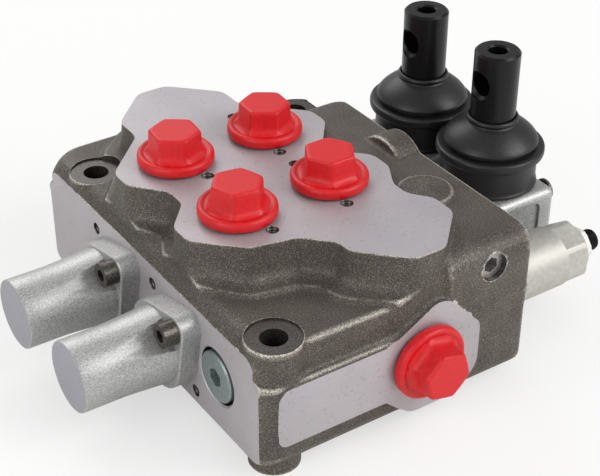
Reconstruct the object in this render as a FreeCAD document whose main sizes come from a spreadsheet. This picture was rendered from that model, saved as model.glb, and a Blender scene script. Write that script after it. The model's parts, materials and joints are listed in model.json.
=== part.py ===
import FreeCAD, Part
import math
import os

import Sketcher
from FreeCAD import Placement, Rotation, Vector

# Two spool hydraulic control valve, in millimetres.
# The origin is the centre of the front far mounting hole, in the plane of the feet.
# +X runs along the spools towards the levers, +Y away from the inlet port, +Z is up.
# Every piece is drawn about the middle of the four work ports and then put in its place.

doc = FreeCAD.newDocument("hydraulic_control_valve")

# Driving sizes
SIZES = (
    # Layout of the casting
    ("hole_pitch_x", 85.0, "mounting holes along the spools"),
    ("hole_pitch_y", 116.5, "mounting holes across the spools"),
    ("ports_from_hole_x", 33.5, "middle of the work ports from the corner hole, along X"),
    ("ports_from_hole_y", 51.5, "middle of the work ports from the corner hole, along -Y"),
    ("spool_pitch", 40.0, "between the two spools"),
    ("port_pitch", 36.0, "between the two work ports of a spool"),
    ("axis_height", 24.0, "spool axes above the feet"),
    ("gallery_height", 25.3, "inlet, outlet and relief axes above the feet"),
    # Casting
    ("body_front", 43.5, "ports' middle to the machined front face"),
    ("body_rear", 60.0, "ports' middle to the rear face"),
    ("body_near", 75.0, "ports' middle to the cast side with the inlet"),
    ("body_far", 73.5, "ports' middle to the cast side with the outlet"),
    ("casting_foot", 6.0, "underside of the casting above the feet"),
    ("shelf_height", 47.5, "top of the lower part of the casting"),
    ("land_height", 63.0, "machined land round the work ports"),
    ("bank_height", 58.5, "cast bank behind the land"),
    ("bank_front", 26.0, "front of the bank, from the ports' middle"),
    ("bank_far", 36.5, "far end of the bank"),
    ("near_corner_radius", 4.6, "upright corners on the inlet side"),
    ("far_corner_radius", 6.5, "upright corners on the outlet side"),
    ("shelf_edge_radius", 3.6, "rounded top edge of the shelf"),
    ("bank_edge_radius", 3.0, "rounded top edges of the bank"),
    ("base_edge_radius", 2.5, "rounded bottom edge of the casting"),
    ("ledge_height", 37.5, "ledge along the inlet side above the feet"),
    ("ledge_depth", 3.0, "wall above that ledge, set back from the side"),
    # Land outline
    ("land_front", 39.2, "land to the front beside each spool"),
    ("land_rear", 40.8, "land to the rear beside each spool"),
    ("waist_front", 29.5, "land to the front between the spools"),
    ("waist_rear", 32.0, "land to the rear between the spools"),
    ("lobe_flat", 9.0, "straight side of the land beside a spool and between them"),
    ("shoulder_cut", 14.0, "slanted shoulder of the land on the inlet side"),
    ("neck_top", 41.8, "inlet lobe starts here, from the ports' middle"),
    ("neck_bottom", 51.0, "inlet lobe is full width from here"),
    ("neck_width", 9.3, "slope of the neck along X"),
    ("inlet_lobe_x", 20.4, "centre of the inlet lobe"),
    ("inlet_lobe_half", 20.6, "half width of the inlet lobe"),
    ("inlet_lobe_reach", 71.9, "tip of the inlet lobe"),
    ("outlet_lobe_x", 0.5, "centre of the outlet lobe"),
    ("outlet_lobe_half", 21.3, "half width of the outlet lobe"),
    ("outlet_lobe_reach", 70.4, "tip of the outlet lobe"),
    ("lobe_tip", 11.5, "flat at the tip of a lobe"),
    ("notch_x", 35.2, "notch of the land behind the inlet lobe"),
    ("notch_near", 40.0, "inlet end of the notch"),
    ("notch_far", 32.5, "outlet end of the notch"),
    ("lobe_rear_end", 47.0, "straight rear side of the inlet lobe ends here"),
    ("land_corner_radius", 6.0, "rounded corners of the land"),
    ("land_draft", 5.0, "draft of the wall under the land, in degrees"),
    # Pads, feet and bosses
    ("foot_diameter", 16.4, "feet under the mounting holes"),
    ("boss_diameter", 19.6, "bosses round the mounting holes"),
    ("rear_boss_diameter", 16.6, "boss round the hole beside the lever boxes"),
    ("boss_rise", 0.7, "bosses above the shelf"),
    ("mounting_hole_diameter", 9.0, "mounting holes"),
    ("pad_rise", 0.8, "machined side pads above the casting"),
    ("pad_bottom", 12.8, "bottom of the side pads' strip"),
    ("pad_top", 34.8, "top of the side pads' strip"),
    ("pad_front", 38.2, "front end of the side pads, from the ports' middle"),
    ("port_boss_radius", 21.3, "machined round of the side ports"),
    ("port_boss_depth", 8.0, "side port bosses, into the casting"),
    ("ring_diameter", 18.0, "cast disc on the bank"),
    ("ring_rise", 0.5, "cast disc above the bank"),
    ("ring_x", 45.5, "cast disc from the ports' middle along X"),
    ("ring_y", 37.5, "cast disc from the ports' middle along -Y"),
    ("nub_radius", 13.0, "cast hump on the rear edge of the bank"),
    ("nub_rise", 4.0, "cast hump above the bank"),
    ("nub_length", 9.0, "cast hump along X"),
    ("nub_y", 6.0, "cast hump from the ports' middle along -Y"),
    # Ports and galleries
    ("port_thread_diameter", 19.0, "drilling for the half inch pipe thread"),
    ("port_thread_depth", 15.0, "depth of that thread"),
    ("port_passage_diameter", 12.0, "passage below a port"),
    ("port_throat_diameter", 8.0, "that passage at its ring gallery"),
    ("inlet_x", 17.5, "inlet port from the ports' middle"),
    ("outlet_x", 0.5, "outlet port from the ports' middle"),
    ("tank_gallery_x", 33.0, "tank galleries from the ports' middle"),
    ("gallery_diameter", 9.0, "cross galleries"),
    ("groove_width", 8.0, "ring galleries round the spools"),
    ("groove_diameter", 22.0, "ring galleries round the spools"),
    ("land_tap_diameter", 4.2, "tapped holes for five millimetre screws"),
    ("tap_depth", 9.0, "depth of those holes"),
    ("land_tap_pitch_x", 29.0, "tapped holes on the land, along the spools"),
    ("land_tap_pitch_y", 30.5, "tapped holes on the land, across the spools"),
    ("land_tap_shift_x", 0.7, "their middle from the ports' middle"),
    ("land_tap_shift_y", 1.2, "their middle from the spool line"),
    ("flange_tap_y", 13.3, "tapped holes round a spool, sideways from its axis"),
    ("flange_tap_z", 13.6, "tapped holes round a spool, up and down from its axis"),
    ("check_y", 47.1, "check valve bore from the ports' middle"),
    ("check_bore_diameter", 12.0, "check valve bore"),
    ("check_bore_end", 9.0, "check valve seat from the ports' middle"),
    ("check_seat_diameter", 8.0, "check valve seat"),
    ("relief_y", 54.0, "relief valve from the ports' middle"),
    ("relief_bore_diameter", 20.0, "relief valve bore"),
    ("relief_bore_depth", 24.0, "relief valve bore"),
    ("relief_seat_diameter", 7.0, "relief valve seat"),
    # Spools, their seals and springs
    ("spool_diameter", 16.0, "spools"),
    ("spool_clearance", 0.03, "radial clearance of the spools in their bores"),
    ("spool_groove_diameter", 10.5, "necks of the spools"),
    ("spool_land_inner", 6.0, "necks start here, from the ports' middle"),
    ("spool_land_outer", 25.0, "necks end here, from the ports' middle"),
    ("tongue_start", 8.5, "flat tongue starts here, from the rear face"),
    ("spool_nose", 7.2, "spool beyond the front face"),
    ("spool_tail", 35.5, "spool beyond the rear face"),
    ("seal_depth", 3.2, "seal seats at both ends of a spool bore"),
    ("seal_outer_diameter", 21.6, "spool seals"),
    ("seal_gap", 0.05, "radial gap between seals and spools"),
    ("end_play", 0.2, "axial play of the seals in their seats"),
    ("seat_diameter", 17.6, "spring seats"),
    ("seat_thickness", 2.0, "spring seats"),
    ("seat_hub_diameter", 12.0, "hub of a spring seat inside the spring"),
    ("seat_hub_length", 3.0, "hub of a spring seat"),
    ("seat_screw_diameter", 6.0, "screw that holds the moving spring seat"),
    ("seat_screw_head", 9.5, "head of that screw"),
    ("seat_screw_head_length", 4.5, "head of that screw"),
    ("seat_screw_reach", 12.0, "that screw in the spool"),
    ("centring_wire", 1.7, "wire of the centring springs"),
    ("centring_diameter", 14.6, "centring springs, middle of the wire"),
    ("centring_turns", 5.0, "centring springs"),
    # Spring caps
    ("cap_diameter", 24.6, "spring caps"),
    ("cap_length", 38.3, "spring caps with their flange"),
    ("cap_wall", 2.7, "round wall of the spring caps"),
    ("cap_end", 3.0, "end wall of the spring caps"),
    ("cap_edge_radius", 1.2, "rounded rim at the end of a spring cap"),
    ("cap_flange", 7.1, "flange of the spring caps"),
    ("cap_flange_radius", 16.2, "round of the flange"),
    ("cap_ear_radius", 5.2, "ears of the flange round the screws"),
    ("cap_flare_diameter", 27.4, "cap where it meets the flange"),
    ("cap_flare_length", 13.0, "length of that flare"),
    ("cap_seal_inner", 22.0, "face seals of the caps"),
    ("cap_seal_width", 1.4, "face seals of the caps, both ways"),
    # Screws
    ("screw_diameter", 5.0, "flange screws"),
    ("screw_hole_diameter", 5.5, "clearance holes for them"),
    ("screw_head_diameter", 8.5, "their heads"),
    ("screw_head_length", 5.0, "their heads"),
    ("screw_socket", 4.0, "their sockets, across flats"),
    ("screw_grip", 7.0, "length of a screw in the casting"),
    # Lever boxes
    ("box_length", 44.0, "lever box along the spool"),
    ("box_width", 39.6, "lever box across the spool"),
    ("box_bottom", 5.8, "underside of the lever boxes"),
    ("box_top", 42.0, "top of the lever boxes"),
    ("box_corner_radius", 3.0, "upright rear corners and top edge of the boxes"),
    ("box_rear_wall", 3.0, "rear wall of the boxes"),
    ("box_cavity_width", 18.0, "chamber of the boxes"),
    ("box_cavity_bottom", 13.0, "floor of the chamber"),
    ("box_cavity_top", 37.0, "roof of the chamber"),
    ("box_side_recess", 1.0, "recess in the sides of the boxes"),
    ("box_recess_margin", 3.6, "edge left round that recess"),
    ("gasket_thickness", 0.5, "gasket under the boxes"),
    ("neck_diameter", 29.0, "neck under the boot"),
    ("neck_bore", 23.6, "bore of that neck"),
    ("neck_height", 9.0, "neck above the box"),
    # Levers
    ("lever_x", 88.6, "levers from the ports' middle"),
    ("lever_diameter", 16.3, "upper part of the levers"),
    ("lever_top", 93.0, "top of the levers above the feet"),
    ("lever_edge", 0.8, "chamfer of the top edge"),
    ("lever_arm", 22.0, "pivot above the spool axis"),
    ("lever_shank_diameter", 6.0, "shank between pivot and ball"),
    ("lever_shank_top", 13.0, "shank above the spool axis"),
    ("ball_diameter", 9.0, "ball in the spool's eye"),
    ("ball_clearance", 0.15, "radial clearance of the ball"),
    ("eye_thickness", 8.0, "flat tongue of the spool round the ball"),
    ("pin_diameter", 6.0, "pivot pins"),
    ("pin_clearance", 0.05, "radial clearance of the pins in the levers"),
    ("pin_sunk", 0.6, "ends of the pivot pins below the skin of the neck"),
    ("shank_slope", 2.0, "cone between a lever's shank and its upper part"),
    ("lever_foot_edge", 1.5, "chamfer at the lower end of a lever's upper part"),
    ("top_thread_diameter", 6.8, "drilling for the eight millimetre thread on top"),
    ("top_thread_depth", 7.0, "depth of that thread"),
    ("side_thread_diameter", 8.5, "drilling for the ten millimetre thread in the side"),
    ("side_thread_drop", 11.8, "its axis below the top"),
    ("side_thread_depth", 11.0, "depth of that thread from the lever's skin"),
    ("side_mouth_diameter", 10.6, "countersink of that thread"),
    ("side_mouth_depth", 0.8, "straight part of that countersink"),
    ("top_mouth_edge", 0.6, "chamfer of the top thread's mouth"),
    # Boots
    ("boot_skirt_diameter", 34.4, "lower round of the boots"),
    ("boot_bead_diameter", 39.2, "bead of the boots"),
    ("boot_bead_height", 55.2, "bead above the feet"),
    ("boot_bead_thickness", 4.2, "bead of the boots"),
    ("boot_rim_diameter", 34.0, "rim of the dome"),
    ("boot_rim_height", 58.8, "rim of the dome above the feet"),
    ("boot_top", 68.4, "top of the collar above the feet"),
    ("boot_collar_diameter", 19.0, "collar round the lever"),
    ("boot_wall", 1.6, "rubber wall"),
    ("boot_lip", 0.5, "lip at the foot of the boots"),
    ("boot_bead_round", 1.9, "rounding of the bead"),
    ("boot_groove_depth", 1.0, "groove above the bead"),
    ("boot_dome_width", 4.4, "dome beside the collar"),
    ("boot_dome_round", 2.0, "rounding of the dome"),
    ("boot_collar_height", 2.6, "collar round the lever"),
    # Port plugs
    ("plug_flange_diameter", 26.5, "flange of the port plugs"),
    ("plug_flange_thickness", 3.6, "flange of the port plugs"),
    ("plug_standing", 0.8, "flange above the machined face"),
    ("plug_hex", 17.0, "hexagon of the port plugs, across flats"),
    ("plug_hex_height", 8.0, "hexagon of the port plugs"),
    ("plug_stem_length", 11.0, "threaded stem of the port plugs"),
    ("plug_stem_gap", 0.2, "radial gap between stem and port"),
    ("plug_stem_edge", 1.0, "chamfer at the end of the stem"),
    ("plug_flange_edge", 0.4, "chamfers of the flange"),
    ("plug_bevel_reach", 3.0, "cone on top of the hexagon, outwards from its flats"),
    ("plug_bevel_drop", 1.5, "fall of that cone over its reach"),
    # Closing plugs
    ("hex_plug_diameter", 17.8, "head of the check valve's closing plug"),
    ("hex_plug_thickness", 3.2, "head of that plug"),
    ("hex_plug_seat_diameter", 20.0, "seat of that plug in the front face"),
    ("hex_plug_seat_depth", 3.6, "depth of that seat"),
    ("hex_plug_thread", 13.0, "thread of that plug"),
    ("hex_plug_thread_length", 12.0, "thread of that plug"),
    ("hex_plug_socket", 6.0, "socket of that plug, across flats"),
    ("hex_plug_proud", 0.5, "head of that plug in front of the face"),
    ("hex_plug_socket_depth", 5.0, "socket of that plug"),
    ("grub_x", 44.5, "grub plug in the side, from the ports' middle"),
    ("grub_height", 50.0, "grub plug above the feet"),
    ("grub_diameter", 9.8, "grub plug"),
    ("grub_length", 7.0, "grub plug"),
    ("grub_sunk", 1.6, "grub plug below the casting's skin"),
    ("grub_socket", 5.0, "socket of the grub plug, across flats"),
    ("thread_gap", 0.05, "radial gap between a thread's solid and its drilling"),
    # Check valve
    ("check_lift", 3.0, "travel of the check valve"),
    ("check_poppet_length", 12.0, "check valve poppet"),
    ("check_nose_length", 5.0, "slim nose of that poppet"),
    ("check_spring_bore", 9.8, "bore of that poppet"),
    ("check_spring_depth", 6.0, "bore of that poppet"),
    ("check_wire", 1.0, "check valve spring"),
    ("check_spring_diameter", 8.4, "check valve spring, middle of the wire"),
    ("check_turns", 5.0, "check valve spring"),
    # Relief valve
    ("relief_diameter", 23.0, "round of the relief valve"),
    ("relief_shoulder", 37.0, "length of that round"),
    ("relief_hex", 21.5, "hexagon of the relief valve, across flats"),
    ("relief_hex_length", 9.0, "that hexagon"),
    ("relief_cone_length", 1.8, "cone in front of the hexagon"),
    ("relief_seal_thickness", 1.0, "seal under the relief valve"),
    ("relief_chamber_diameter", 12.0, "spring chamber of the relief valve"),
    ("relief_wall", 6.0, "end wall of the relief valve round its adjuster"),
    ("relief_adjuster_diameter", 8.0, "adjusting screw"),
    ("relief_adjuster_length", 24.0, "adjusting screw"),
    ("relief_adjuster_out", 7.0, "adjusting screw beyond the relief valve"),
    ("relief_adjuster_socket", 4.0, "socket of the adjusting screw, across flats"),
    ("relief_ring_diameter", 17.0, "white ring round the adjusting screw"),
    ("relief_ring_length", 1.6, "that ring"),
    ("relief_poppet_length", 9.0, "relief valve poppet"),
    ("relief_wire", 1.8, "relief valve spring"),
    ("relief_spring_diameter", 8.4, "relief valve spring, middle of the wire"),
    ("relief_turns", 8.0, "relief valve spring"),
    ("relief_pad_thickness", 3.0, "spring pad under the adjusting screw"),
    ("slide_gap", 0.1, "radial gap of the sliding inner pieces"),
    ("small_edge", 0.5, "chamfers of pins and closing plugs"),
    ("screw_edge", 0.8, "chamfers of the spools and of the adjusting screw"),
    ("seat_overlap", 0.6, "poppets beyond the rims of their seats"),
    ("seal_inset", 0.4, "washers under a head, behind its rim"),
    ("relief_cone_base", 3.0, "cone of the relief valve's poppet"),
    ("grub_drill_end", 6.0, "drilling beyond the grub plug"),
    ("overrun", 1.0, "length by which a cut runs out of a face, or a piece into the one that it joins"),
)


class Size:
    """A length that keeps its value and its formula in the sheet together."""

    def __init__(self, value, formula):
        self.value = value
        self.formula = formula

    def __add__(self, other):
        other = as_size(other)
        return Size(self.value + other.value, f"({self.formula} + {other.formula})")

    def __sub__(self, other):
        other = as_size(other)
        return Size(self.value - other.value, f"({self.formula} - {other.formula})")

    def __rsub__(self, other):
        return as_size(other) - self

    def __mul__(self, other):
        other = as_size(other)
        return Size(self.value * other.value, f"({self.formula} * {other.formula})")

    def __truediv__(self, other):
        other = as_size(other)
        return Size(self.value / other.value, f"({self.formula} / {other.formula})")

    def __neg__(self):
        return Size(-self.value, f"(0 - {self.formula})")

    __radd__ = __add__
    __rmul__ = __mul__


class Sheet:
    """Gives each driving size by its name."""


def as_size(number):
    if isinstance(number, Size):
        return number
    return Size(float(number), f"({float(number)})")


def fill_sheet():
    """Writes the driving sizes to the spreadsheet and returns them by name."""
    cells = doc.addObject("Spreadsheet::Sheet", "Sizes")
    sizes = Sheet()
    for row, (alias, value, note) in enumerate(SIZES, start=1):
        cells.set(f"A{row}", alias)
        cells.set(f"B{row}", str(value))
        cells.set(f"C{row}", note)
        cells.setAlias(f"B{row}", alias)
        setattr(sizes, alias, Size(value, f"Sizes.{alias}"))
    doc.recompute()
    return sizes


s = fill_sheet()
ZERO = as_size(0)
nodes = []

# Sizes that several pieces share
near_spool = -s.spool_pitch / 2
far_spool = s.spool_pitch / 2
spool_radius = s.spool_diameter / 2
spool_bore = spool_radius + s.spool_clearance
pivot_height = s.axis_height + s.lever_arm
box_front = s.body_rear + s.gasket_thickness
near_face = s.body_near + s.pad_rise
far_face = s.body_far + s.pad_rise
port_hole_radius = s.port_thread_diameter / 2
spool_lines = (("1", near_spool), ("2", far_spool))


def bind(item, path, size):
    """Ties one property of an object to the sheet."""
    item.setExpression(path, as_size(size).formula)


def new_body(name):
    body = doc.addObject("PartDesign::Body", name)
    body.Label = name
    return body


def place(item, x, y, z, rotation=Rotation()):
    """Puts a piece at a point counted from the middle of the work ports."""
    point = (s.ports_from_hole_x + x, y - s.ports_from_hole_y, as_size(z))
    item.Placement = Placement(Vector(*(size.value for size in point)), rotation)
    for axis, size in zip("xyz", point):
        bind(item, f"Placement.Base.{axis}", size)


def keep(item):
    """Adds a finished sub-part to those that are written out."""
    nodes.append(item)
    return item


def new_sketch(body, name, plane, origin):
    """A sketch on an origin plane of its body, shifted in the plane's own axes."""
    sketch = body.newObject("Sketcher::SketchObject", name)
    roles = {feature.Role: feature for feature in body.Origin.OriginFeatures}
    sketch.AttachmentSupport = (roles[plane], "")
    sketch.MapMode = "FlatFace"
    sizes = [as_size(size) for size in origin]
    sketch.AttachmentOffset = Placement(Vector(*(size.value for size in sizes)), Rotation())
    for axis, size in zip("xyz", sizes):
        bind(sketch, f"AttachmentOffset.Base.{axis}", size)
    return sketch


def pin_point(sketch, edge, end, point):
    """Holds a point of a sketch at its two coordinates."""
    for kind, size in zip(("DistanceX", "DistanceY"), point):
        size = as_size(size)
        index = sketch.addConstraint(Sketcher.Constraint(kind, edge, end, size.value))
        sketch.setExpression(f"Constraints[{index}]", size.formula)


def draw_outline(sketch, points):
    """Draws a closed outline of straight lines through the points."""
    spots = [Vector(as_size(a).value, as_size(b).value, 0) for a, b in points]
    count = len(spots)
    for index, spot in enumerate(spots):
        sketch.addGeometry(Part.LineSegment(spot, spots[(index + 1) % count]), False)
    for index in range(count):
        sketch.addConstraint(Sketcher.Constraint("Coincident", index, 2, (index + 1) % count, 1))
    for index, point in enumerate(points):
        pin_point(sketch, index, 1, point)


def round_corners(sketch, corners):
    """Rounds some corners of an outline, given by their number and radius."""
    for corner, radius in corners:
        sketch.fillet(corner, 1, radius.value, True, True)
    arcs = [i for i, part in enumerate(sketch.Geometry) if isinstance(part, Part.ArcOfCircle)]
    for arc, (corner, radius) in zip(arcs, corners):
        index = sketch.addConstraint(Sketcher.Constraint("Radius", arc, radius.value))
        sketch.setExpression(f"Constraints[{index}]", radius.formula)


def draw_rounded(sketch, points, radii):
    """Draws a closed outline and rounds its corners, each radius used in turn."""
    draw_outline(sketch, points)
    round_corners(sketch, tuple((i, radii[i % len(radii)]) for i in range(len(points))))


def draw_circle(sketch, centre, diameter):
    """Draws a circle held at its centre."""
    radius = as_size(diameter) / 2
    middle = Vector(as_size(centre[0]).value, as_size(centre[1]).value, 0)
    edge = sketch.addGeometry(Part.Circle(middle, Vector(0, 0, 1), radius.value), False)
    index = sketch.addConstraint(Sketcher.Constraint("Radius", edge, radius.value))
    sketch.setExpression(f"Constraints[{index}]", radius.formula)
    pin_point(sketch, edge, 3, centre)


def box_outline(low_a, low_b, high_a, high_b):
    return ((low_a, low_b), (high_a, low_b), (high_a, high_b), (low_a, high_b))


def hexagon_outline(flats, centre_a=ZERO, centre_b=ZERO):
    """Corners of a hexagon with two flats square to the sketch's first axis."""
    across = as_size(flats) / 2
    corner = as_size(flats) / math.sqrt(3)
    steps = ((1, 0.5), (0, 1), (-1, 0.5), (-1, -0.5), (0, -1), (1, -0.5))
    return tuple((centre_a + across * a, centre_b + corner * b) for a, b in steps)


def draw_hexagon(sketch, centre_a, centre_b, flats):
    """Adds a hexagon to a sketch that already holds others."""
    first = sketch.GeometryCount
    points = hexagon_outline(flats, centre_a, centre_b)
    spots = [Vector(a.value, b.value, 0) for a, b in points]
    for index, spot in enumerate(spots):
        sketch.addGeometry(Part.LineSegment(spot, spots[(index + 1) % 6]), False)
    for index in range(6):
        follower = first + (index + 1) % 6
        sketch.addConstraint(Sketcher.Constraint("Coincident", first + index, 2, follower, 1))
    for index, point in enumerate(points):
        pin_point(sketch, first + index, 1, point)


def extrude(body, kind, name, sketch, length, forward=True, draft=None):
    """Pads or pockets a sketch along its normal, or against it."""
    before = body.Shape.Volume if kind == "Pocket" else 0.0
    feature = body.newObject(f"PartDesign::{kind}", name)
    feature.Profile = sketch
    feature.Reversed = forward if kind == "Pocket" else not forward
    feature.Length = as_size(length).value
    bind(feature, "Length", length)
    if draft is not None:
        feature.TaperAngle = draft.value
        bind(feature, "TaperAngle", draft)
    doc.recompute()
    if kind == "Pocket" and body.Shape.Volume >= before:
        raise RuntimeError(f"{body.Label}: {name} cuts nothing")
    return feature


def spin(body, kind, name, axis, centre, profile):
    """Turns a profile of (along, radius) points round an axis, to add or to cut."""
    before = body.Shape.Volume if kind == "Groove" else 0.0
    x, y, z = centre
    plane = "YZ_Plane" if axis == "Y" else "XZ_Plane"
    origin = (y, z, x) if axis == "Y" else (x, z, -as_size(y))
    sketch = new_sketch(body, f"{name}_profile", plane, origin)
    points = [(radius, along) if axis == "Z" else (along, radius) for along, radius in profile]
    draw_outline(sketch, points)
    feature = body.newObject(f"PartDesign::{kind}", name)
    feature.Profile = sketch
    feature.ReferenceAxis = (sketch, ["V_Axis" if axis == "Z" else "H_Axis"])
    feature.Angle = 360.0
    doc.recompute()
    if kind == "Groove" and body.Shape.Volume >= before:
        raise RuntimeError(f"{body.Label}: {name} cuts nothing")
    return feature


def shaft(steps, start=ZERO):
    """Profile of a solid turned piece from its steps of (length, radius)."""
    points = [(start, ZERO)]
    along = start
    for length, radius in steps:
        points.append((along, as_size(radius)))
        along = along + length
        points.append((along, as_size(radius)))
    points.append((along, ZERO))
    return points


def drill(body, name, plane, level, centres, diameter, depth, forward):
    """Cuts equal round holes from one level."""
    sketch = new_sketch(body, f"{name}_sketch", plane, (ZERO, ZERO, level))
    for centre in centres:
        draw_circle(sketch, centre, diameter)
    return extrude(body, "Pocket", name, sketch, depth, forward)


def round_edges(body, name, radius, test):
    """Rounds the edges of a body that pass a test."""
    base = body.Tip
    shape = base.Shape
    names = [f"Edge{i}" for i, edge in enumerate(shape.Edges, start=1) if test(edge)]
    if not names:
        raise RuntimeError(f"{body.Label}: {name} finds no edge")
    feature = body.newObject("PartDesign::Fillet", name)
    feature.Base = (base, names)
    feature.Radius = radius.value
    bind(feature, "Radius", radius)
    doc.recompute()
    return feature


def edge_is_upright(edge):
    box = edge.BoundBox
    return box.ZLength > 5.0 and max(box.XLength, box.YLength) < 0.01


# Casting

def land_outline():
    """Corners of the land's outline before they are rounded, seen from above."""
    half_flat = s.lobe_flat / 2
    tip = s.lobe_tip / 2
    inlet_cut = s.inlet_lobe_half - tip
    outlet_cut = s.outlet_lobe_half - tip
    inlet_left = s.inlet_lobe_x - s.inlet_lobe_half
    inlet_right = s.inlet_lobe_x + s.inlet_lobe_half
    outlet_left = s.outlet_lobe_x - s.outlet_lobe_half
    outlet_right = s.outlet_lobe_x + s.outlet_lobe_half
    far_top = far_spool + half_flat
    front = (
        (-s.land_front, far_top),
        (-s.land_front, far_spool - half_flat),
        (-s.waist_front, half_flat),
        (-s.waist_front, -half_flat),
        (-s.land_front, near_spool + half_flat),
        (-s.land_front, near_spool - half_flat),
        (s.shoulder_cut - s.land_front, near_spool - half_flat - s.shoulder_cut),
    )
    inlet_lobe = (
        (inlet_left - s.neck_width, -s.neck_top),
        (inlet_left, -s.neck_bottom),
        (inlet_left, inlet_cut - s.inlet_lobe_reach),
        (s.inlet_lobe_x - tip, -s.inlet_lobe_reach),
        (s.inlet_lobe_x + tip, -s.inlet_lobe_reach),
        (inlet_right, inlet_cut - s.inlet_lobe_reach),
        (inlet_right, -s.lobe_rear_end),
    )
    rear = (
        (s.notch_x, -s.notch_near),
        (s.notch_x, -s.notch_far),
        (s.land_rear, near_spool - half_flat / 2),
        (s.land_rear, near_spool + half_flat * 1.5),
        (s.waist_rear, -half_flat),
        (s.waist_rear, half_flat),
        (s.land_rear, far_spool - half_flat),
        (s.land_rear, far_top),
    )
    outlet_lobe = (
        (outlet_right, far_top + s.land_rear - outlet_right),
        (outlet_right, s.outlet_lobe_reach - outlet_cut),
        (s.outlet_lobe_x + tip, s.outlet_lobe_reach),
        (s.outlet_lobe_x - tip, s.outlet_lobe_reach),
        (outlet_left, s.outlet_lobe_reach - outlet_cut),
        (outlet_left, far_top + s.land_front + outlet_left),
    )
    return front + inlet_lobe + rear + outlet_lobe


def cast_block(body):
    """The casting up to the bank, cut down to the shelf in front of it and beside it."""
    sketch = new_sketch(body, "block_sketch", "XY_Plane", (ZERO, ZERO, s.casting_foot))
    draw_outline(sketch, box_outline(-s.body_front, -s.body_near, s.body_rear, s.body_far))
    extrude(body, "Pad", "block", sketch, s.bank_height - s.casting_foot)
    front = -s.body_front - s.overrun
    near = -s.body_near - s.overrun
    rear = s.body_rear + s.overrun
    far = s.body_far + s.overrun
    side = s.body_far.value - 0.1
    round_edges(body, "near_corners", s.near_corner_radius,
                lambda e: edge_is_upright(e) and e.BoundBox.YMax < 0)
    round_edges(body, "far_corners", s.far_corner_radius,
                lambda e: edge_is_upright(e) and e.BoundBox.YMin > side)
    wall = s.ledge_depth - s.body_near
    end = wall + s.near_corner_radius * 2
    step = new_sketch(body, "step_sketch", "XY_Plane", (ZERO, ZERO, s.bank_height))
    draw_outline(step, (
        (front, near),
        (s.bank_front, near),
        (s.bank_front, wall),
        (-s.body_front, wall),
        (-s.body_front, end),
        (front, end),
    ))
    round_corners(step, ((3, s.near_corner_radius),))
    extrude(body, "Pocket", "step", step, s.bank_height - s.ledge_height, forward=False)
    shelf = new_sketch(body, "shelf_sketch", "XY_Plane", (ZERO, ZERO, s.bank_height))
    draw_outline(shelf, (
        (front, near),
        (s.bank_front, near),
        (s.bank_front, s.bank_far),
        (rear, s.bank_far),
        (rear, far),
        (front, far),
    ))
    extrude(body, "Pocket", "shelf", shelf, s.bank_height - s.shelf_height, forward=False)


def soften_block(body):
    """Rounds the cast edges of the shelf, of the bank and of the underside."""
    shelf = s.shelf_height.value
    bank = s.bank_height.value
    base = s.casting_foot.value
    front = s.bank_front.value + 0.1
    far = s.bank_far.value + 0.1

    def is_shelf_rim(edge):
        box = edge.BoundBox
        level = abs(box.ZMin - shelf) < 0.01 and abs(box.ZMax - shelf) < 0.01
        inside = box.XMin > front - 0.2 and box.YMax < far
        wall = box.XMax < front and box.XMin > front - 0.2
        return level and not inside and not wall

    def is_bank_rim(edge):
        box = edge.BoundBox
        return box.ZMin > bank - 0.01 and box.XMax > front

    round_edges(body, "shelf_rim", s.shelf_edge_radius, is_shelf_rim)
    round_edges(body, "bank_rim", s.bank_edge_radius, is_bank_rim)
    round_edges(body, "base_rim", s.base_edge_radius, lambda e: e.BoundBox.ZMax < base + 0.01)


def cast_land(body):
    """The raised land with its drafted wall and rounded corners."""
    sketch = new_sketch(body, "land_sketch", "XY_Plane", (ZERO, ZERO, s.land_height))
    draw_rounded(sketch, land_outline(), (s.land_corner_radius,))
    depth = s.land_height - s.ledge_height + s.overrun
    extrude(body, "Pad", "land", sketch, depth, forward=False, draft=s.land_draft)


def cast_feet(body):
    """Feet and bosses round the mounting holes."""
    feet = new_sketch(body, "feet_sketch", "XY_Plane", (ZERO, ZERO, ZERO))
    bosses = new_sketch(body, "bosses_sketch", "XY_Plane", (ZERO, ZERO, s.ledge_height))
    diameters = (s.boss_diameter, s.boss_diameter, s.rear_boss_diameter)
    for centre, diameter in zip(hole_centres(), diameters):
        draw_circle(feet, centre, s.foot_diameter)
        draw_circle(bosses, centre, diameter)
    extrude(body, "Pad", "feet", feet, s.casting_foot + s.overrun)
    extrude(body, "Pad", "bosses", bosses, s.shelf_height + s.boss_rise - s.ledge_height)


def hole_centres():
    """Mounting holes from the middle of the work ports."""
    corner_x = -s.ports_from_hole_x
    corner_y = s.ports_from_hole_y
    return (
        (corner_x, corner_y),
        (corner_x, corner_y - s.hole_pitch_y),
        (corner_x + s.hole_pitch_x, corner_y),
    )


def cast_side_pads(body):
    """Machined strip and round boss on the inlet side and on the outlet side."""
    sides = (("inlet", s.inlet_x, near_face, False), ("outlet", s.outlet_x, -far_face, True))
    for side, port_x, level, forward in sides:
        strip = new_sketch(body, f"{side}_strip_sketch", "XZ_Plane", (ZERO, ZERO, level))
        draw_outline(strip, box_outline(-s.pad_front, s.pad_bottom, port_x, s.pad_top))
        extrude(body, "Pad", f"{side}_strip", strip, s.port_boss_depth, forward)
        boss = new_sketch(body, f"{side}_boss_sketch", "XZ_Plane", (ZERO, ZERO, level))
        draw_circle(boss, (port_x, s.gallery_height), s.port_boss_radius * 2)
        extrude(body, "Pad", f"{side}_boss", boss, s.port_boss_depth, forward)


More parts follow.
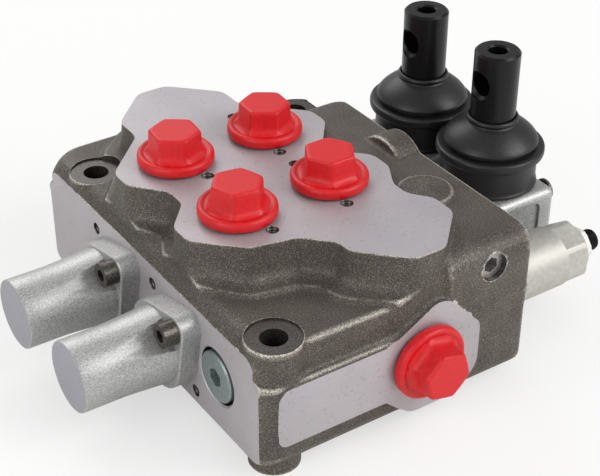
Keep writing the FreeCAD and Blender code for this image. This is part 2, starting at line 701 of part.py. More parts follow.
def cast_marks(body):
    """The hump on the rear edge of the bank and the flat disc on the bank."""
    disc = new_sketch(body, "disc_sketch", "XY_Plane", (ZERO, ZERO, s.bank_height - s.overrun))
    draw_circle(disc, (s.ring_x, -s.ring_y), s.ring_diameter)
    extrude(body, "Pad", "disc", disc, s.ring_rise + s.overrun)
    centre = (-s.nub_y, s.bank_height + s.nub_rise - s.nub_radius)
    hump = new_sketch(body, "hump_sketch", "YZ_Plane", (ZERO, ZERO, s.body_rear))
    draw_circle(hump, centre, s.nub_radius * 2)
    extrude(body, "Pad", "hump", hump, s.nub_length, forward=False)


def spool_bore_profile():
    """Bore of a spool with its ring galleries and the seal seats at both ends."""
    seal_radius = s.seal_outer_diameter / 2
    ring = s.groove_diameter / 2
    half = s.groove_width / 2
    port = s.port_pitch / 2
    points = [
        (-s.body_front - s.overrun, ZERO),
        (-s.body_front - s.overrun, seal_radius),
        (s.seal_depth - s.body_front, seal_radius),
        (s.seal_depth - s.body_front, spool_bore),
    ]
    for centre in (-s.tank_gallery_x, -port, ZERO, port, s.tank_gallery_x):
        points += [
            (centre - half, spool_bore),
            (centre - half, ring),
            (centre + half, ring),
            (centre + half, spool_bore),
        ]
    points += [
        (s.body_rear - s.seal_depth, spool_bore),
        (s.body_rear - s.seal_depth, seal_radius),
        (s.body_rear + s.overrun, seal_radius),
        (s.body_rear + s.overrun, ZERO),
    ]
    return points


def cut_spool_bores(body):
    for number, y in spool_lines:
        centre = (ZERO, y, s.axis_height)
        spin(body, "Groove", f"spool_bore_{number}", "X", centre, spool_bore_profile())


def cut_work_ports(body):
    """Four threaded work ports with passages down to the ring galleries."""
    profile = (
        (s.axis_height, ZERO),
        (s.axis_height, s.port_throat_diameter / 2),
        (s.axis_height + s.groove_diameter / 2, s.port_passage_diameter / 2),
        (s.land_height - s.port_thread_depth, s.port_passage_diameter / 2),
        (s.land_height - s.port_thread_depth, port_hole_radius),
        (s.land_height + s.overrun, port_hole_radius),
        (s.land_height + s.overrun, ZERO),
    )
    for name, x, y in work_ports():
        spin(body, "Groove", f"port_{name}", "Z", (x, y, ZERO), profile)


def work_ports():
    half = s.port_pitch / 2
    return (
        ("a1", -half, near_spool),
        ("b1", half, near_spool),
        ("a2", -half, far_spool),
        ("b2", half, far_spool),
    )


def side_port_profile(face, end):
    """Threaded side port and its passage, from the outer face to its inner end."""
    passage = s.port_passage_diameter / 2
    step = -1 if face.value < 0 else 1
    bottom = face - s.port_thread_depth * step
    mouth = face + s.overrun * step
    return (
        (end, ZERO),
        (end, passage),
        (bottom, passage),
        (bottom, port_hole_radius),
        (mouth, port_hole_radius),
        (mouth, ZERO),
    )


def cut_galleries(body):
    """Inlet, outlet, pressure and tank passages inside the casting."""
    gallery = s.gallery_diameter / 2
    inlet = (s.inlet_x, ZERO, s.gallery_height)
    inner = gallery - s.check_y
    spin(body, "Groove", "inlet_port", "Y", inlet, side_port_profile(-near_face, inner))
    outlet = (s.outlet_x, ZERO, s.gallery_height)
    collector = far_spool + s.groove_diameter
    spin(body, "Groove", "outlet_port", "Y", outlet, side_port_profile(far_face, collector))
    pressure = shaft(((s.check_y + far_spool, gallery),), -s.check_y)
    spin(body, "Groove", "pressure_gallery", "Y", (ZERO, ZERO, s.axis_height), pressure)
    across = shaft(((s.tank_gallery_x * 2, gallery),), -s.tank_gallery_x)
    spin(body, "Groove", "tank_collector", "X", (ZERO, collector, s.axis_height), across)
    along = shaft(((collector - near_spool, gallery),), near_spool)
    for name, x in (("front", -s.tank_gallery_x), ("rear", s.tank_gallery_x)):
        spin(body, "Groove", f"tank_gallery_{name}", "Y", (x, ZERO, s.axis_height), along)


def cut_check_bore(body):
    """Seat of the closing plug, its thread, the check valve's bore and seat."""
    front = -s.body_front
    profile = (
        (front - s.overrun, ZERO),
        (front - s.overrun, s.hex_plug_seat_diameter / 2),
        (front + s.hex_plug_seat_depth, s.hex_plug_seat_diameter / 2),
        (front + s.hex_plug_seat_depth, s.hex_plug_thread / 2 + s.thread_gap),
        (front + s.hex_plug_seat_depth + s.hex_plug_thread_length, s.hex_plug_thread / 2 + s.thread_gap),
        (front + s.hex_plug_seat_depth + s.hex_plug_thread_length, s.check_bore_diameter / 2),
        (s.check_bore_end, s.check_bore_diameter / 2),
        (s.check_bore_end, s.check_seat_diameter / 2),
        (s.inlet_x, s.check_seat_diameter / 2),
        (s.inlet_x, ZERO),
    )
    spin(body, "Groove", "check_bore", "X", (ZERO, -s.check_y, s.gallery_height), profile)


def cut_relief_bore(body):
    """Threaded bore of the relief valve and its seat at the inlet passage."""
    rear = s.body_rear
    bottom = rear - s.relief_bore_depth
    profile = (
        (s.inlet_x, ZERO),
        (s.inlet_x, s.relief_seat_diameter / 2),
        (bottom, s.relief_seat_diameter / 2),
        (bottom, s.relief_bore_diameter / 2),
        (rear + s.overrun, s.relief_bore_diameter / 2),
        (rear + s.overrun, ZERO),
    )
    spin(body, "Groove", "relief_bore", "X", (ZERO, -s.relief_y, s.gallery_height), profile)


def flange_holes(y):
    """The four tapped holes round a spool, in the plane of an end face."""
    across = (-1, 1)
    return tuple((y + s.flange_tap_y * a, s.axis_height + s.flange_tap_z * b) for a in across for b in across)


def screw_ears():
    """The two corners round a spool that take a screw, from the spool's axis."""
    return ((s.flange_tap_y, -s.flange_tap_z), (-s.flange_tap_y, s.flange_tap_z))


def screw_centres(height):
    return tuple((y + across, height + up) for number, y in spool_lines for across, up in screw_ears())


def land_holes(y):
    """The four tapped holes round the ports of a spool."""
    middle_y = y + s.land_tap_shift_y
    half_x = s.land_tap_pitch_x / 2
    half_y = s.land_tap_pitch_y / 2
    return tuple((s.land_tap_shift_x + half_x * a, middle_y + half_y * b) for a in (-1, 1) for b in (-1, 1))


def cut_fixing_holes(body):
    """Mounting holes and all tapped holes."""
    above = s.land_height + s.overrun
    depth = above + s.overrun
    drill(body, "mounting_holes", "XY_Plane", above, hole_centres(), s.mounting_hole_diameter, depth, False)
    tops = land_holes(near_spool) + land_holes(far_spool)
    drill(body, "land_taps", "XY_Plane", s.land_height, tops, s.land_tap_diameter, s.tap_depth, False)
    front = flange_holes(near_spool) + flange_holes(far_spool)
    drill(body, "front_taps", "YZ_Plane", -s.body_front, front, s.land_tap_diameter, s.tap_depth, True)
    rear = screw_centres(s.axis_height)
    drill(body, "rear_taps", "YZ_Plane", s.body_rear, rear, s.land_tap_diameter, s.tap_depth, False)
    side = (s.grub_x, ZERO, s.grub_height)
    bore = s.grub_diameter / 2 + s.thread_gap
    skin = -s.body_near
    profile = (
        (skin - s.overrun, ZERO),
        (skin - s.overrun, bore),
        (skin + s.grub_sunk + s.grub_length, bore),
        (skin + s.grub_sunk + s.grub_length, s.grub_socket / 2),
        (skin + s.grub_sunk + s.grub_length + s.grub_drill_end, ZERO),
    )
    spin(body, "Groove", "grub_bore", "Y", side, profile)


def make_valve_body():
    body = new_body("valve_body")
    cast_block(body)
    soften_block(body)
    cast_land(body)
    cast_feet(body)
    cast_side_pads(body)
    cast_marks(body)
    cut_spool_bores(body)
    cut_work_ports(body)
    cut_galleries(body)
    cut_check_bore(body)
    cut_relief_bore(body)
    cut_fixing_holes(body)
    place(body, ZERO, ZERO, ZERO)
    keep(body)


make_valve_body()


# Spools with their seals, caps and springs

def root(size):
    return Size(math.sqrt(size.value), f"sqrt({size.formula})")


def turned_piece(name, axis, profile, x, y, z):
    """A piece that is turned in one go."""
    body = new_body(name)
    spin(body, "Revolution", f"{name}_turning", axis, (ZERO, ZERO, ZERO), profile)
    place(body, x, y, z)
    keep(body)
    return body


def tube(start, end, inner, outer):
    """Profile of a ring or a sleeve."""
    inner = as_size(inner)
    outer = as_size(outer)
    return ((start, inner), (start, outer), (end, outer), (end, inner))


def make_spool(number, y):
    body = new_body(f"spool_{number}")
    nose = -s.body_front - s.spool_nose
    tail = s.body_rear + s.spool_tail
    neck = s.spool_groove_diameter / 2
    profile = (
        (nose, ZERO),
        (nose, spool_radius - s.screw_edge),
        (nose + s.screw_edge, spool_radius),
        (-s.spool_land_outer, spool_radius),
        (-s.spool_land_outer, neck),
        (-s.spool_land_inner, neck),
        (-s.spool_land_inner, spool_radius),
        (s.spool_land_inner, spool_radius),
        (s.spool_land_inner, neck),
        (s.spool_land_outer, neck),
        (s.spool_land_outer, spool_radius),
        (tail, spool_radius),
        (tail, ZERO),
    )
    spin(body, "Revolution", "rod", "X", (ZERO, ZERO, ZERO), profile)
    screw_bore = s.seat_screw_diameter + s.thread_gap * 2
    drill(body, "screw_hole", "YZ_Plane", nose, ((ZERO, ZERO),), screw_bore, s.seat_screw_reach + s.overrun, True)
    flats = new_sketch(body, "flats_sketch", "XZ_Plane", (ZERO, ZERO, s.spool_diameter))
    start = s.body_rear + s.tongue_start
    half = s.eye_thickness / 2
    draw_outline(flats, box_outline(start, half, tail + s.overrun, s.spool_diameter))
    extrude(body, "Pocket", "upper_flat", flats, s.spool_diameter * 2, forward=False)
    lower = new_sketch(body, "lower_sketch", "XZ_Plane", (ZERO, ZERO, s.spool_diameter))
    draw_outline(lower, box_outline(start, -s.spool_diameter, tail + s.overrun, -half))
    extrude(body, "Pocket", "lower_flat", lower, s.spool_diameter * 2, forward=False)
    eye = s.ball_diameter + s.ball_clearance * 2
    drill(body, "eye", "XY_Plane", s.spool_diameter, ((s.lever_x, ZERO),), eye, s.spool_diameter * 2, False)
    place(body, ZERO, y, s.axis_height)
    keep(body)


def make_spool_seals(number, y):
    inner = spool_radius + s.seal_gap
    outer = s.seal_outer_diameter / 2 - s.thread_gap
    length = s.seal_depth - s.end_play
    front = tube(s.end_play, s.end_play + length, inner, outer)
    turned_piece(f"front_spool_seal_{number}", "X", front, -s.body_front, y, s.axis_height)
    rear = tube(-length, ZERO, inner, outer)
    turned_piece(f"rear_spool_seal_{number}", "X", rear, s.body_rear, y, s.axis_height)


def cap_flange_outline():
    """Corners of the slanted square that is rounded to the flange with its two ears."""
    reach = root(s.flange_tap_y * s.flange_tap_y + s.flange_tap_z * s.flange_tap_z)
    lean = (s.cap_flange_radius - s.cap_ear_radius) / reach
    tip = s.cap_flange_radius / lean / reach
    side = s.cap_flange_radius / root(1 - lean * lean) / reach
    return (
        (s.flange_tap_y * tip, -s.flange_tap_z * tip),
        (s.flange_tap_z * side, s.flange_tap_y * side),
        (-s.flange_tap_y * tip, s.flange_tap_z * tip),
        (-s.flange_tap_z * side, -s.flange_tap_y * side),
    )


def make_spring_cap(number, y):
    body = new_body(f"spring_cap_{number}")
    sketch = new_sketch(body, "flange_sketch", "YZ_Plane", (ZERO, ZERO, ZERO))
    draw_rounded(sketch, cap_flange_outline(), (s.cap_ear_radius, s.cap_flange_radius))
    extrude(body, "Pad", "flange", sketch, s.cap_flange, forward=False)
    radius = s.cap_diameter / 2
    barrel = (
        (-s.cap_length, ZERO),
        (-s.cap_length, radius),
        (-s.cap_flange - s.cap_flare_length, radius),
        (-s.cap_flange, s.cap_flare_diameter / 2),
        (-s.overrun, s.cap_flare_diameter / 2),
        (-s.overrun, ZERO),
    )
    spin(body, "Revolution", "barrel", "X", (ZERO, ZERO, ZERO), barrel)
    tip = -s.cap_length.value + 0.01
    round_edges(body, "end_rim", s.cap_edge_radius, lambda e: e.BoundBox.XMax < tip)
    bore = radius - s.cap_wall
    groove = s.cap_seal_inner / 2 + s.cap_seal_width + s.thread_gap
    inside = s.cap_seal_inner / 2 - s.thread_gap
    hollow = ((s.cap_end - s.cap_length, ZERO), (s.cap_end - s.cap_length, bore), (s.overrun, bore),
              (s.overrun, ZERO))
    spin(body, "Groove", "spring_chamber", "X", (ZERO, ZERO, ZERO), hollow)
    seat = tube(-s.cap_seal_width, s.overrun, inside, groove)
    spin(body, "Groove", "seal_groove", "X", (ZERO, ZERO, ZERO), seat)
    drill(body, "screw_holes", "YZ_Plane", ZERO, screw_ears(), s.screw_hole_diameter, s.cap_flange + s.overrun, False)
    place(body, -s.body_front, y, s.axis_height)
    keep(body)


def make_coil(name, start, end, wire, diameter, turns, x, y, z):
    """A coil spring along X between two planes, with its wire inside them."""
    body = new_body(name)
    first = start + wire / 2
    climb = end - start - wire
    sketch = new_sketch(body, f"{name}_wire", "XZ_Plane", (ZERO, ZERO, ZERO))
    draw_circle(sketch, (first, diameter / 2), wire)
    coil = body.newObject("PartDesign::AdditiveHelix", f"{name}_coil")
    coil.Profile = sketch
    coil.ReferenceAxis = (sketch, ["H_Axis"])
    coil.Mode = "height-turns-angle"
    coil.Height = climb.value
    coil.Turns = turns.value
    bind(coil, "Height", climb)
    bind(coil, "Turns", turns)
    doc.recompute()
    place(body, x, y, z)
    keep(body)


def make_spring_pack(number, y):
    """Cap seal, both spring seats, the seat screw and the centring spring."""
    front = -s.body_front
    height = s.axis_height
    inner = s.cap_seal_inner / 2
    seal = tube(-s.cap_seal_width, ZERO, inner, inner + s.cap_seal_width)
    turned_piece(f"cap_seal_{number}", "X", seal, front, y, height)
    seat = s.seat_diameter / 2
    near = -s.spool_nose
    clamped = near - s.seat_thickness
    hole = s.seat_screw_diameter / 2 + s.slide_gap
    turned_piece(f"inner_spring_seat_{number}", "X", tube(clamped, near, hole, seat), front, y, height)
    bottom = s.cap_end - s.cap_length
    outer = bottom + s.seat_thickness
    hub = s.seat_hub_diameter / 2
    profile = ((bottom, ZERO), (bottom, seat), (outer, seat), (outer, hub), (outer + s.seat_hub_length, hub),
               (outer + s.seat_hub_length, ZERO))
    turned_piece(f"outer_spring_seat_{number}", "X", profile, front, y, height)
    head = clamped - s.seat_screw_head_length
    shank = s.seat_screw_diameter / 2
    profile = ((head, ZERO), (head, s.seat_screw_head / 2), (clamped, s.seat_screw_head / 2), (clamped, shank),
               (near + s.seat_screw_reach, shank), (near + s.seat_screw_reach, ZERO))
    screw = turned_piece(f"seat_screw_{number}", "X", profile, front, y, height)
    socket = new_sketch(screw, "socket_sketch", "YZ_Plane", (ZERO, ZERO, head))
    draw_outline(socket, hexagon_outline(s.screw_socket))
    extrude(screw, "Pocket", "socket", socket, s.seat_screw_head_length / 2, forward=True)
    make_coil(f"centring_spring_{number}", outer, clamped, s.centring_wire, s.centring_diameter,
              s.centring_turns, front, y, height)


def make_screws(name, seat_x, grip, outwards):
    """Four socket head screws along X, their heads on one plane."""
    body = new_body(name)
    body.AllowCompound = True
    centres = screw_centres(s.axis_height)
    steps = (
        ("heads", s.screw_head_diameter, s.screw_head_length, ZERO, outwards),
        ("shanks", s.screw_diameter, grip, ZERO, not outwards),
        ("threads", s.land_tap_diameter - s.thread_gap * 2, s.screw_grip, grip, not outwards),
    )
    inward = -1 if outwards else 1
    for step, diameter, length, start, forward in steps:
        sketch = new_sketch(body, f"{step}_sketch", "YZ_Plane", (ZERO, ZERO, start * inward))
        for centre in centres:
            draw_circle(sketch, centre, diameter)
        extrude(body, "Pad", step, sketch, length, forward)
    top = s.screw_head_length * -inward
    sockets = new_sketch(body, "sockets_sketch", "YZ_Plane", (ZERO, ZERO, top))
    for a, b in centres:
        draw_hexagon(sockets, a, b, s.screw_socket)
    extrude(body, "Pocket", "sockets", sockets, s.screw_head_length / 2, forward=not outwards)
    place(body, seat_x, ZERO, ZERO)
    keep(body)


for number, y in spool_lines:
    make_spool(number, y)
    make_spool_seals(number, y)
    make_spring_cap(number, y)
    make_spring_pack(number, y)
make_screws("spring_cap_screws", -s.body_front - s.cap_flange, s.cap_flange, False)


# Levers with their boxes and boots

def box_side():
    return s.box_width / 2


def make_gasket(number, y):
    body = new_body(f"lever_box_gasket_{number}")
    sketch = new_sketch(body, "sheet_sketch", "YZ_Plane", (ZERO, ZERO, ZERO))
    low = s.box_bottom - s.axis_height
    high = s.box_top - s.axis_height
    corners = box_outline(-box_side(), low, box_side(), high)
    draw_rounded(sketch, corners, (s.box_corner_radius,))
    extrude(body, "Pad", "sheet", sketch, s.gasket_thickness)
    drill(body, "spool_hole", "YZ_Plane", ZERO, ((ZERO, ZERO),), s.box_cavity_width, s.gasket_thickness, True)
    drill(body, "screw_holes", "YZ_Plane", ZERO, screw_ears(), s.screw_hole_diameter, s.gasket_thickness, True)
    place(body, s.body_rear, y, s.axis_height)
    keep(body)


def make_lever_box(number, y):
    """Box with its chamber, the neck for the boot and the pivot holes."""
    body = new_body(f"lever_box_{number}")
    sketch = new_sketch(body, "block_sketch", "YZ_Plane", (ZERO, ZERO, ZERO))
    draw_rounded(sketch, box_outline(-box_side(), s.box_bottom, box_side(), s.box_top), (s.box_corner_radius,))
    extrude(body, "Pad", "block", sketch, s.box_length)
    rear = s.box_length.value - 0.01
    round_edges(body, "rear_rim", s.box_corner_radius, lambda e: e.BoundBox.XMin > rear)
    lever = s.lever_x - box_front
    neck = new_sketch(body, "neck_sketch", "XY_Plane", (ZERO, ZERO, s.box_top - s.overrun))
    draw_circle(neck, (lever, ZERO), s.neck_diameter)
    extrude(body, "Pad", "neck", neck, s.neck_height + s.overrun)
    top = s.box_top + s.neck_height
    cavity = s.box_cavity_width / 2
    chamber = new_sketch(body, "chamber_sketch", "YZ_Plane", (ZERO, ZERO, ZERO))
    draw_outline(chamber, box_outline(-cavity, s.box_cavity_bottom, cavity, s.box_cavity_top))
    extrude(body, "Pocket", "chamber", chamber, s.box_length - s.box_rear_wall, forward=True)
    depth = top - s.box_cavity_top + s.overrun
    drill(body, "neck_bore", "XY_Plane", top, ((lever, ZERO),), s.neck_bore, depth, False)
    pin = (lever, pivot_height)
    drill(body, "pin_hole", "XZ_Plane", s.neck_diameter / 2, (pin,), s.pin_diameter, s.neck_diameter, False)
    for side, level, forward in (("near", box_side(), False), ("far", -box_side(), True)):
        recess = new_sketch(body, f"{side}_recess_sketch", "XZ_Plane", (ZERO, ZERO, level))
        margin = s.box_recess_margin
        corners = box_outline(margin, s.box_bottom + margin, s.box_length - margin * 2, s.box_top - margin)
        draw_rounded(recess, corners, (s.box_corner_radius,))
        extrude(body, "Pocket", f"{side}_recess", recess, s.box_side_recess, forward)
    ears = tuple((across, s.axis_height + up) for across, up in screw_ears())
    drill(body, "screw_holes", "YZ_Plane", ZERO, ears, s.screw_hole_diameter, s.box_length, True)
    place(body, box_front, y, ZERO)
    keep(body)


def make_pivot_pin(number, y):
    half = s.neck_diameter / 2 - s.pin_sunk
    radius = s.pin_diameter / 2
    edge = s.small_edge
    profile = ((-half, ZERO), (-half, radius - edge), (-half + edge, radius), (half - edge, radius),
               (half, radius - edge), (half, ZERO))
    turned_piece(f"pivot_pin_{number}", "Y", profile, s.lever_x, y, pivot_height)


def make_lever(number, y):
    """Lever with its ball, its pivot hole and its two threaded holes."""
    body = new_body(f"lever_{number}")
    radius = s.lever_diameter / 2
    shank = s.lever_shank_diameter / 2
    top = s.lever_top - s.axis_height
    profile = (
        (ZERO, ZERO),
        (ZERO, shank),
        (s.lever_shank_top - s.shank_slope, shank),
        (s.lever_shank_top, radius - s.lever_foot_edge),
        (s.lever_shank_top + s.lever_foot_edge, radius),
        (top - s.lever_edge, radius),
        (top, radius - s.lever_edge),
        (top, ZERO),
    )
    spin(body, "Revolution", "rod", "Z", (ZERO, ZERO, ZERO), profile)
    ball = body.newObject("PartDesign::AdditiveSphere", "ball")
    ball.Radius = s.ball_diameter.value / 2
    bind(ball, "Radius", s.ball_diameter / 2)
    doc.recompute()
    pin = s.pin_diameter + s.pin_clearance * 2
    drill(body, "pivot_hole", "XZ_Plane", radius, ((ZERO, s.lever_arm),), pin, radius * 2, False)
    thread = s.top_thread_diameter / 2
    mouth = (
        (top - s.top_thread_depth, ZERO),
        (top - s.top_thread_depth, thread),
        (top - s.top_mouth_edge, thread),
        (top, thread + s.top_mouth_edge),
        (top + s.overrun, thread + s.top_mouth_edge),
        (top + s.overrun, ZERO),
    )
    spin(body, "Groove", "top_hole", "Z", (ZERO, ZERO, ZERO), mouth)
    bore = s.side_thread_diameter / 2
    rim = s.side_mouth_diameter / 2
    skin = -radius
    side = (
        (skin - s.overrun, ZERO),
        (skin - s.overrun, rim),
        (skin + s.side_mouth_depth, rim),
        (skin + s.side_mouth_depth + rim - bore, bore),
        (skin + s.side_thread_depth, bore),
        (skin + s.side_thread_depth, ZERO),
    )
    spin(body, "Groove", "side_hole", "X", (ZERO, ZERO, top - s.side_thread_drop), side)
    place(body, s.lever_x, y, s.axis_height)
    keep(body)


def boot_outline():
    """Outer skin of the boot from its lip up to the collar, then the inner skin down."""
    skirt = s.boot_skirt_diameter / 2
    bead = s.boot_bead_diameter / 2
    rim = s.boot_rim_diameter / 2
    collar = s.boot_collar_diameter / 2
    half = s.boot_bead_thickness / 2
    lip = s.boot_lip
    low = s.box_top + s.seal_gap
    inner_skirt = s.neck_diameter / 2 + s.seal_gap
    inner_top = s.lever_diameter / 2 + s.seal_gap
    wall = s.boot_wall
    groove = skirt - s.boot_groove_depth
    shoulder = rim - s.boot_dome_width
    outer = (
        (inner_skirt, low),
        (skirt + lip, low),
        (skirt + lip, low + lip * 2),
        (skirt, low + lip * 3),
        (skirt, s.boot_bead_height - half),
        (bead, s.boot_bead_height - half),
        (bead, s.boot_bead_height + half),
        (groove, s.boot_bead_height + half),
        (rim, s.boot_rim_height),
        (rim - wall / 2, s.boot_rim_height + wall * 2),
        (shoulder, s.boot_top - s.boot_collar_height - wall / 2),
        (collar, s.boot_top - s.boot_collar_height),
        (collar, s.boot_top),
    )
    inner = (
        (inner_top, s.boot_top),
        (inner_top, s.boot_top - s.boot_collar_height - wall / 2),
        (shoulder - wall, s.boot_top - s.boot_collar_height - wall * 2),
        (rim - wall, s.boot_rim_height),
        (skirt - wall, s.boot_bead_height),
        (skirt - wall, low + s.neck_height + wall),
        (inner_skirt, low + s.neck_height - wall),
    )
    return outer + inner


def make_boot(number, y):
    body = new_body(f"boot_{number}")
    sketch = new_sketch(body, "skin_sketch", "XZ_Plane", (ZERO, ZERO, ZERO))
    draw_outline(sketch, boot_outline())
    corners = ((5, s.boot_bead_round), (6, s.boot_bead_round), (9, s.boot_dome_round), (10, s.boot_dome_round),
               (12, s.boot_lip))
    round_corners(sketch, corners)
    skin = body.newObject("PartDesign::Revolution", "skin")
    skin.Profile = sketch
    skin.ReferenceAxis = (sketch, ["V_Axis"])
    skin.Angle = 360.0
    doc.recompute()
    place(body, s.lever_x, y, ZERO)
    keep(body)


for number, y in spool_lines:
    make_gasket(number, y)
    make_lever_box(number, y)
    make_pivot_pin(number, y)
    make_lever(number, y)
    make_boot(number, y)
make_screws("lever_box_screws", box_front + s.box_length, s.box_length + s.gasket_thickness, True)


# Plugs of the ports

def make_port_plug(name, x, y, z, rotation=Rotation()):
    """Plastic plug with a stem, a flange and a hexagon, drawn upright."""
    body = new_body(name)
    stem = port_hole_radius - s.plug_stem_gap
    flange = s.plug_flange_diameter / 2
    base = s.plug_standing
    level = base + s.plug_flange_thickness
    edge = s.plug_flange_edge
    profile = (
        (-s.plug_stem_length, ZERO),
        (-s.plug_stem_length, stem - s.plug_stem_edge),
        (s.plug_stem_edge - s.plug_stem_length, stem),
        (base, stem),
        (base, flange - edge),
        (base + edge, flange),
        (level - edge, flange),
        (level, flange - edge),
        (level, ZERO),
    )
    spin(body, "Revolution", "flange", "Z", (ZERO, ZERO, ZERO), profile)
    sketch = new_sketch(body, "hexagon_sketch", "XY_Plane", (ZERO, ZERO, level))
    draw_outline(sketch, hexagon_outline(s.plug_hex))
    extrude(body, "Pad", "hexagon", sketch, s.plug_hex_height)
    top = level + s.plug_hex_height
    across = s.plug_hex / 2
    reach = across + s.plug_bevel_reach
    above = top + s.overrun
    bevel = ((top, across), (above, across), (above, reach), (top - s.plug_bevel_drop, reach))
    spin(body, "Groove", "bevel", "Z", (ZERO, ZERO, ZERO), bevel)
    place(body, x, y, z, rotation)
    keep(body)


for name, x, y in work_ports():
    make_port_plug(f"port_plug_{name}", x, y, s.land_height)
make_port_plug("inlet_port_plug", s.inlet_x, -near_face, s.gallery_height, Rotation(Vector(1, 0, 0), 90))
make_port_plug("outlet_port_plug", s.outlet_x, far_face, s.gallery_height, Rotation(Vector(1, 0, 0), -90))


# Check valve behind its closing plug

def make_check_valve():
    front = -s.body_front
    y = -s.check_y
    height = s.gallery_height
    radius = s.hex_plug_diameter / 2
    thread = s.hex_plug_thread / 2
    outer = -s.hex_plug_proud
    under = outer + s.hex_plug_thickness
    end = s.hex_plug_seat_depth + s.hex_plug_thread_length - s.small_edge
    edge = s.small_edge
    profile = (
        (outer, ZERO),
        (outer, radius - edge),
        (outer + edge, radius),
        (under, radius),
        (under, thread),
        (end, thread),
        (end, ZERO),
    )
    plug = turned_piece("hex_socket_plug", "X", profile, front, y, height)
    socket = new_sketch(plug, "socket_sketch", "YZ_Plane", (ZERO, ZERO, outer))
    draw_outline(socket, hexagon_outline(s.hex_plug_socket))
    extrude(plug, "Pocket", "socket", socket, s.hex_plug_socket_depth, forward=True)
    ring = tube(under, s.hex_plug_seat_depth, thread + s.thread_gap, radius + s.seal_inset)
    turned_piece("hex_plug_seal", "X", ring, front, y, height)
    seat = s.check_bore_end
    body_radius = s.check_bore_diameter / 2 - s.slide_gap
    nose = s.check_seat_diameter / 2 + s.seat_overlap
    back = -s.check_poppet_length
    bore = s.check_spring_bore / 2
    floor = back + s.check_spring_depth
    poppet = (
        (ZERO, ZERO),
        (ZERO, nose),
        (-s.check_nose_length, nose),
        (-s.check_nose_length, body_radius),
        (back, body_radius),
        (back, bore),
        (floor, bore),
        (floor, ZERO),
    )
    turned_piece("check_poppet", "X", poppet, seat, y, height)
    start = front + end - seat
    make_coil("check_spring", start, floor, s.check_wire, s.check_spring_diameter, s.check_turns, seat, y, height)


make_check_valve()


# Grub plug in the side of the bank

def make_grub_plug():
    body = turned_piece("grub_plug", "Y", shaft(((s.grub_length, s.grub_diameter / 2),)),
                        s.grub_x, s.grub_sunk - s.body_near, s.grub_height)
    socket = new_sketch(body, "socket_sketch", "XZ_Plane", (ZERO, ZERO, ZERO))
    draw_outline(socket, hexagon_outline(s.grub_socket))
    extrude(body, "Pocket", "socket", socket, s.grub_length / 2, forward=False)


make_grub_plug()


# Relief valve

def make_relief_valve():
    rear = s.body_rear
    y = -s.relief_y
    height = s.gallery_height
    body = new_body("relief_cartridge")
    radius = s.relief_diameter / 2
    thread = s.relief_bore_diameter / 2 - s.thread_gap
    seal = s.relief_seal_thickness
    hex_start = s.relief_shoulder
    hex_end = hex_start + s.relief_hex_length - s.relief_cone_length
    nose = hex_end + s.relief_cone_length
    stem = s.overrun - s.relief_bore_depth
    profile = (
        (stem, ZERO),
        (stem, thread),
        (seal, thread),
        (seal, radius),
        (hex_start, radius),
        (hex_start, ZERO),
    )
    spin(body, "Revolution", "barrel", "X", (ZERO, ZERO, ZERO), profile)
    sketch = new_sketch(body, "hexagon_sketch", "YZ_Plane", (ZERO, ZERO, hex_start))
    draw_outline(sketch, hexagon_outline(s.relief_hex))
    extrude(body, "Pad", "hexagon", sketch, nose - hex_start)
    across = s.relief_hex / 2
    rim = across - s.relief_cone_length
    reach = across + s.relief_cone_length * 2
    above = nose + s.overrun
    bevel = ((nose, rim), (above, rim), (above, reach), (hex_end, reach), (hex_end, across + s.small_edge * 2))
    spin(body, "Groove", "bevel", "X", (ZERO, ZERO, ZERO), bevel)
    chamber = s.relief_chamber_diameter / 2
    adjuster = s.relief_adjuster_diameter / 2
    wall = nose - s.relief_wall
    inside = (
        (stem - s.overrun, ZERO),
        (stem - s.overrun, chamber),
        (wall, chamber),
        (wall, adjuster + s.thread_gap),
        (nose + s.overrun, adjuster + s.thread_gap),
        (nose + s.overrun, ZERO),
    )
    spin(body, "Groove", "spring_chamber", "X", (ZERO, ZERO, ZERO), inside)
    place(body, rear, y, height)
    keep(body)
    washer = tube(ZERO, seal, s.relief_bore_diameter / 2, radius - s.seal_inset)
    turned_piece("relief_seal", "X", washer, rear, y, height)
    ring = tube(nose, nose + s.relief_ring_length, adjuster + s.slide_gap, s.relief_ring_diameter / 2)
    turned_piece("relief_lock_ring", "X", ring, rear, y, height)
    bottom = -s.relief_bore_depth
    seat_radius = s.relief_seat_diameter / 2
    poppet_end = bottom + s.relief_poppet_length
    poppet = (
        (bottom, ZERO),
        (bottom, seat_radius + s.seat_overlap),
        (bottom + s.relief_cone_base, chamber - s.slide_gap),
        (poppet_end, chamber - s.slide_gap),
        (poppet_end, ZERO),
    )
    turned_piece("relief_poppet", "X", poppet, rear, y, height)
    tip = nose + s.relief_adjuster_out
    inner = tip - s.relief_adjuster_length
    edge = s.screw_edge
    profile = (
        (inner, ZERO),
        (inner, adjuster),
        (tip - edge, adjuster),
        (tip, adjuster - edge),
        (tip, ZERO),
    )
    screw = turned_piece("relief_adjuster", "X", profile, rear, y, height)
    socket = new_sketch(screw, "socket_sketch", "YZ_Plane", (ZERO, ZERO, tip))
    draw_outline(socket, hexagon_outline(s.relief_adjuster_socket))
    extrude(screw, "Pocket", "socket", socket, s.relief_adjuster_socket, forward=False)
    pad = inner - s.relief_pad_thickness
    disc = shaft(((s.relief_pad_thickness, chamber - s.slide_gap),), pad)
    turned_piece("relief_spring_pad", "X", disc, rear, y, height)
    make_coil("relief_spring", poppet_end, pad, s.relief_wire, s.relief_spring_diameter, s.relief_turns,
              rear, y, height)


make_relief_valve()

# Checks and files

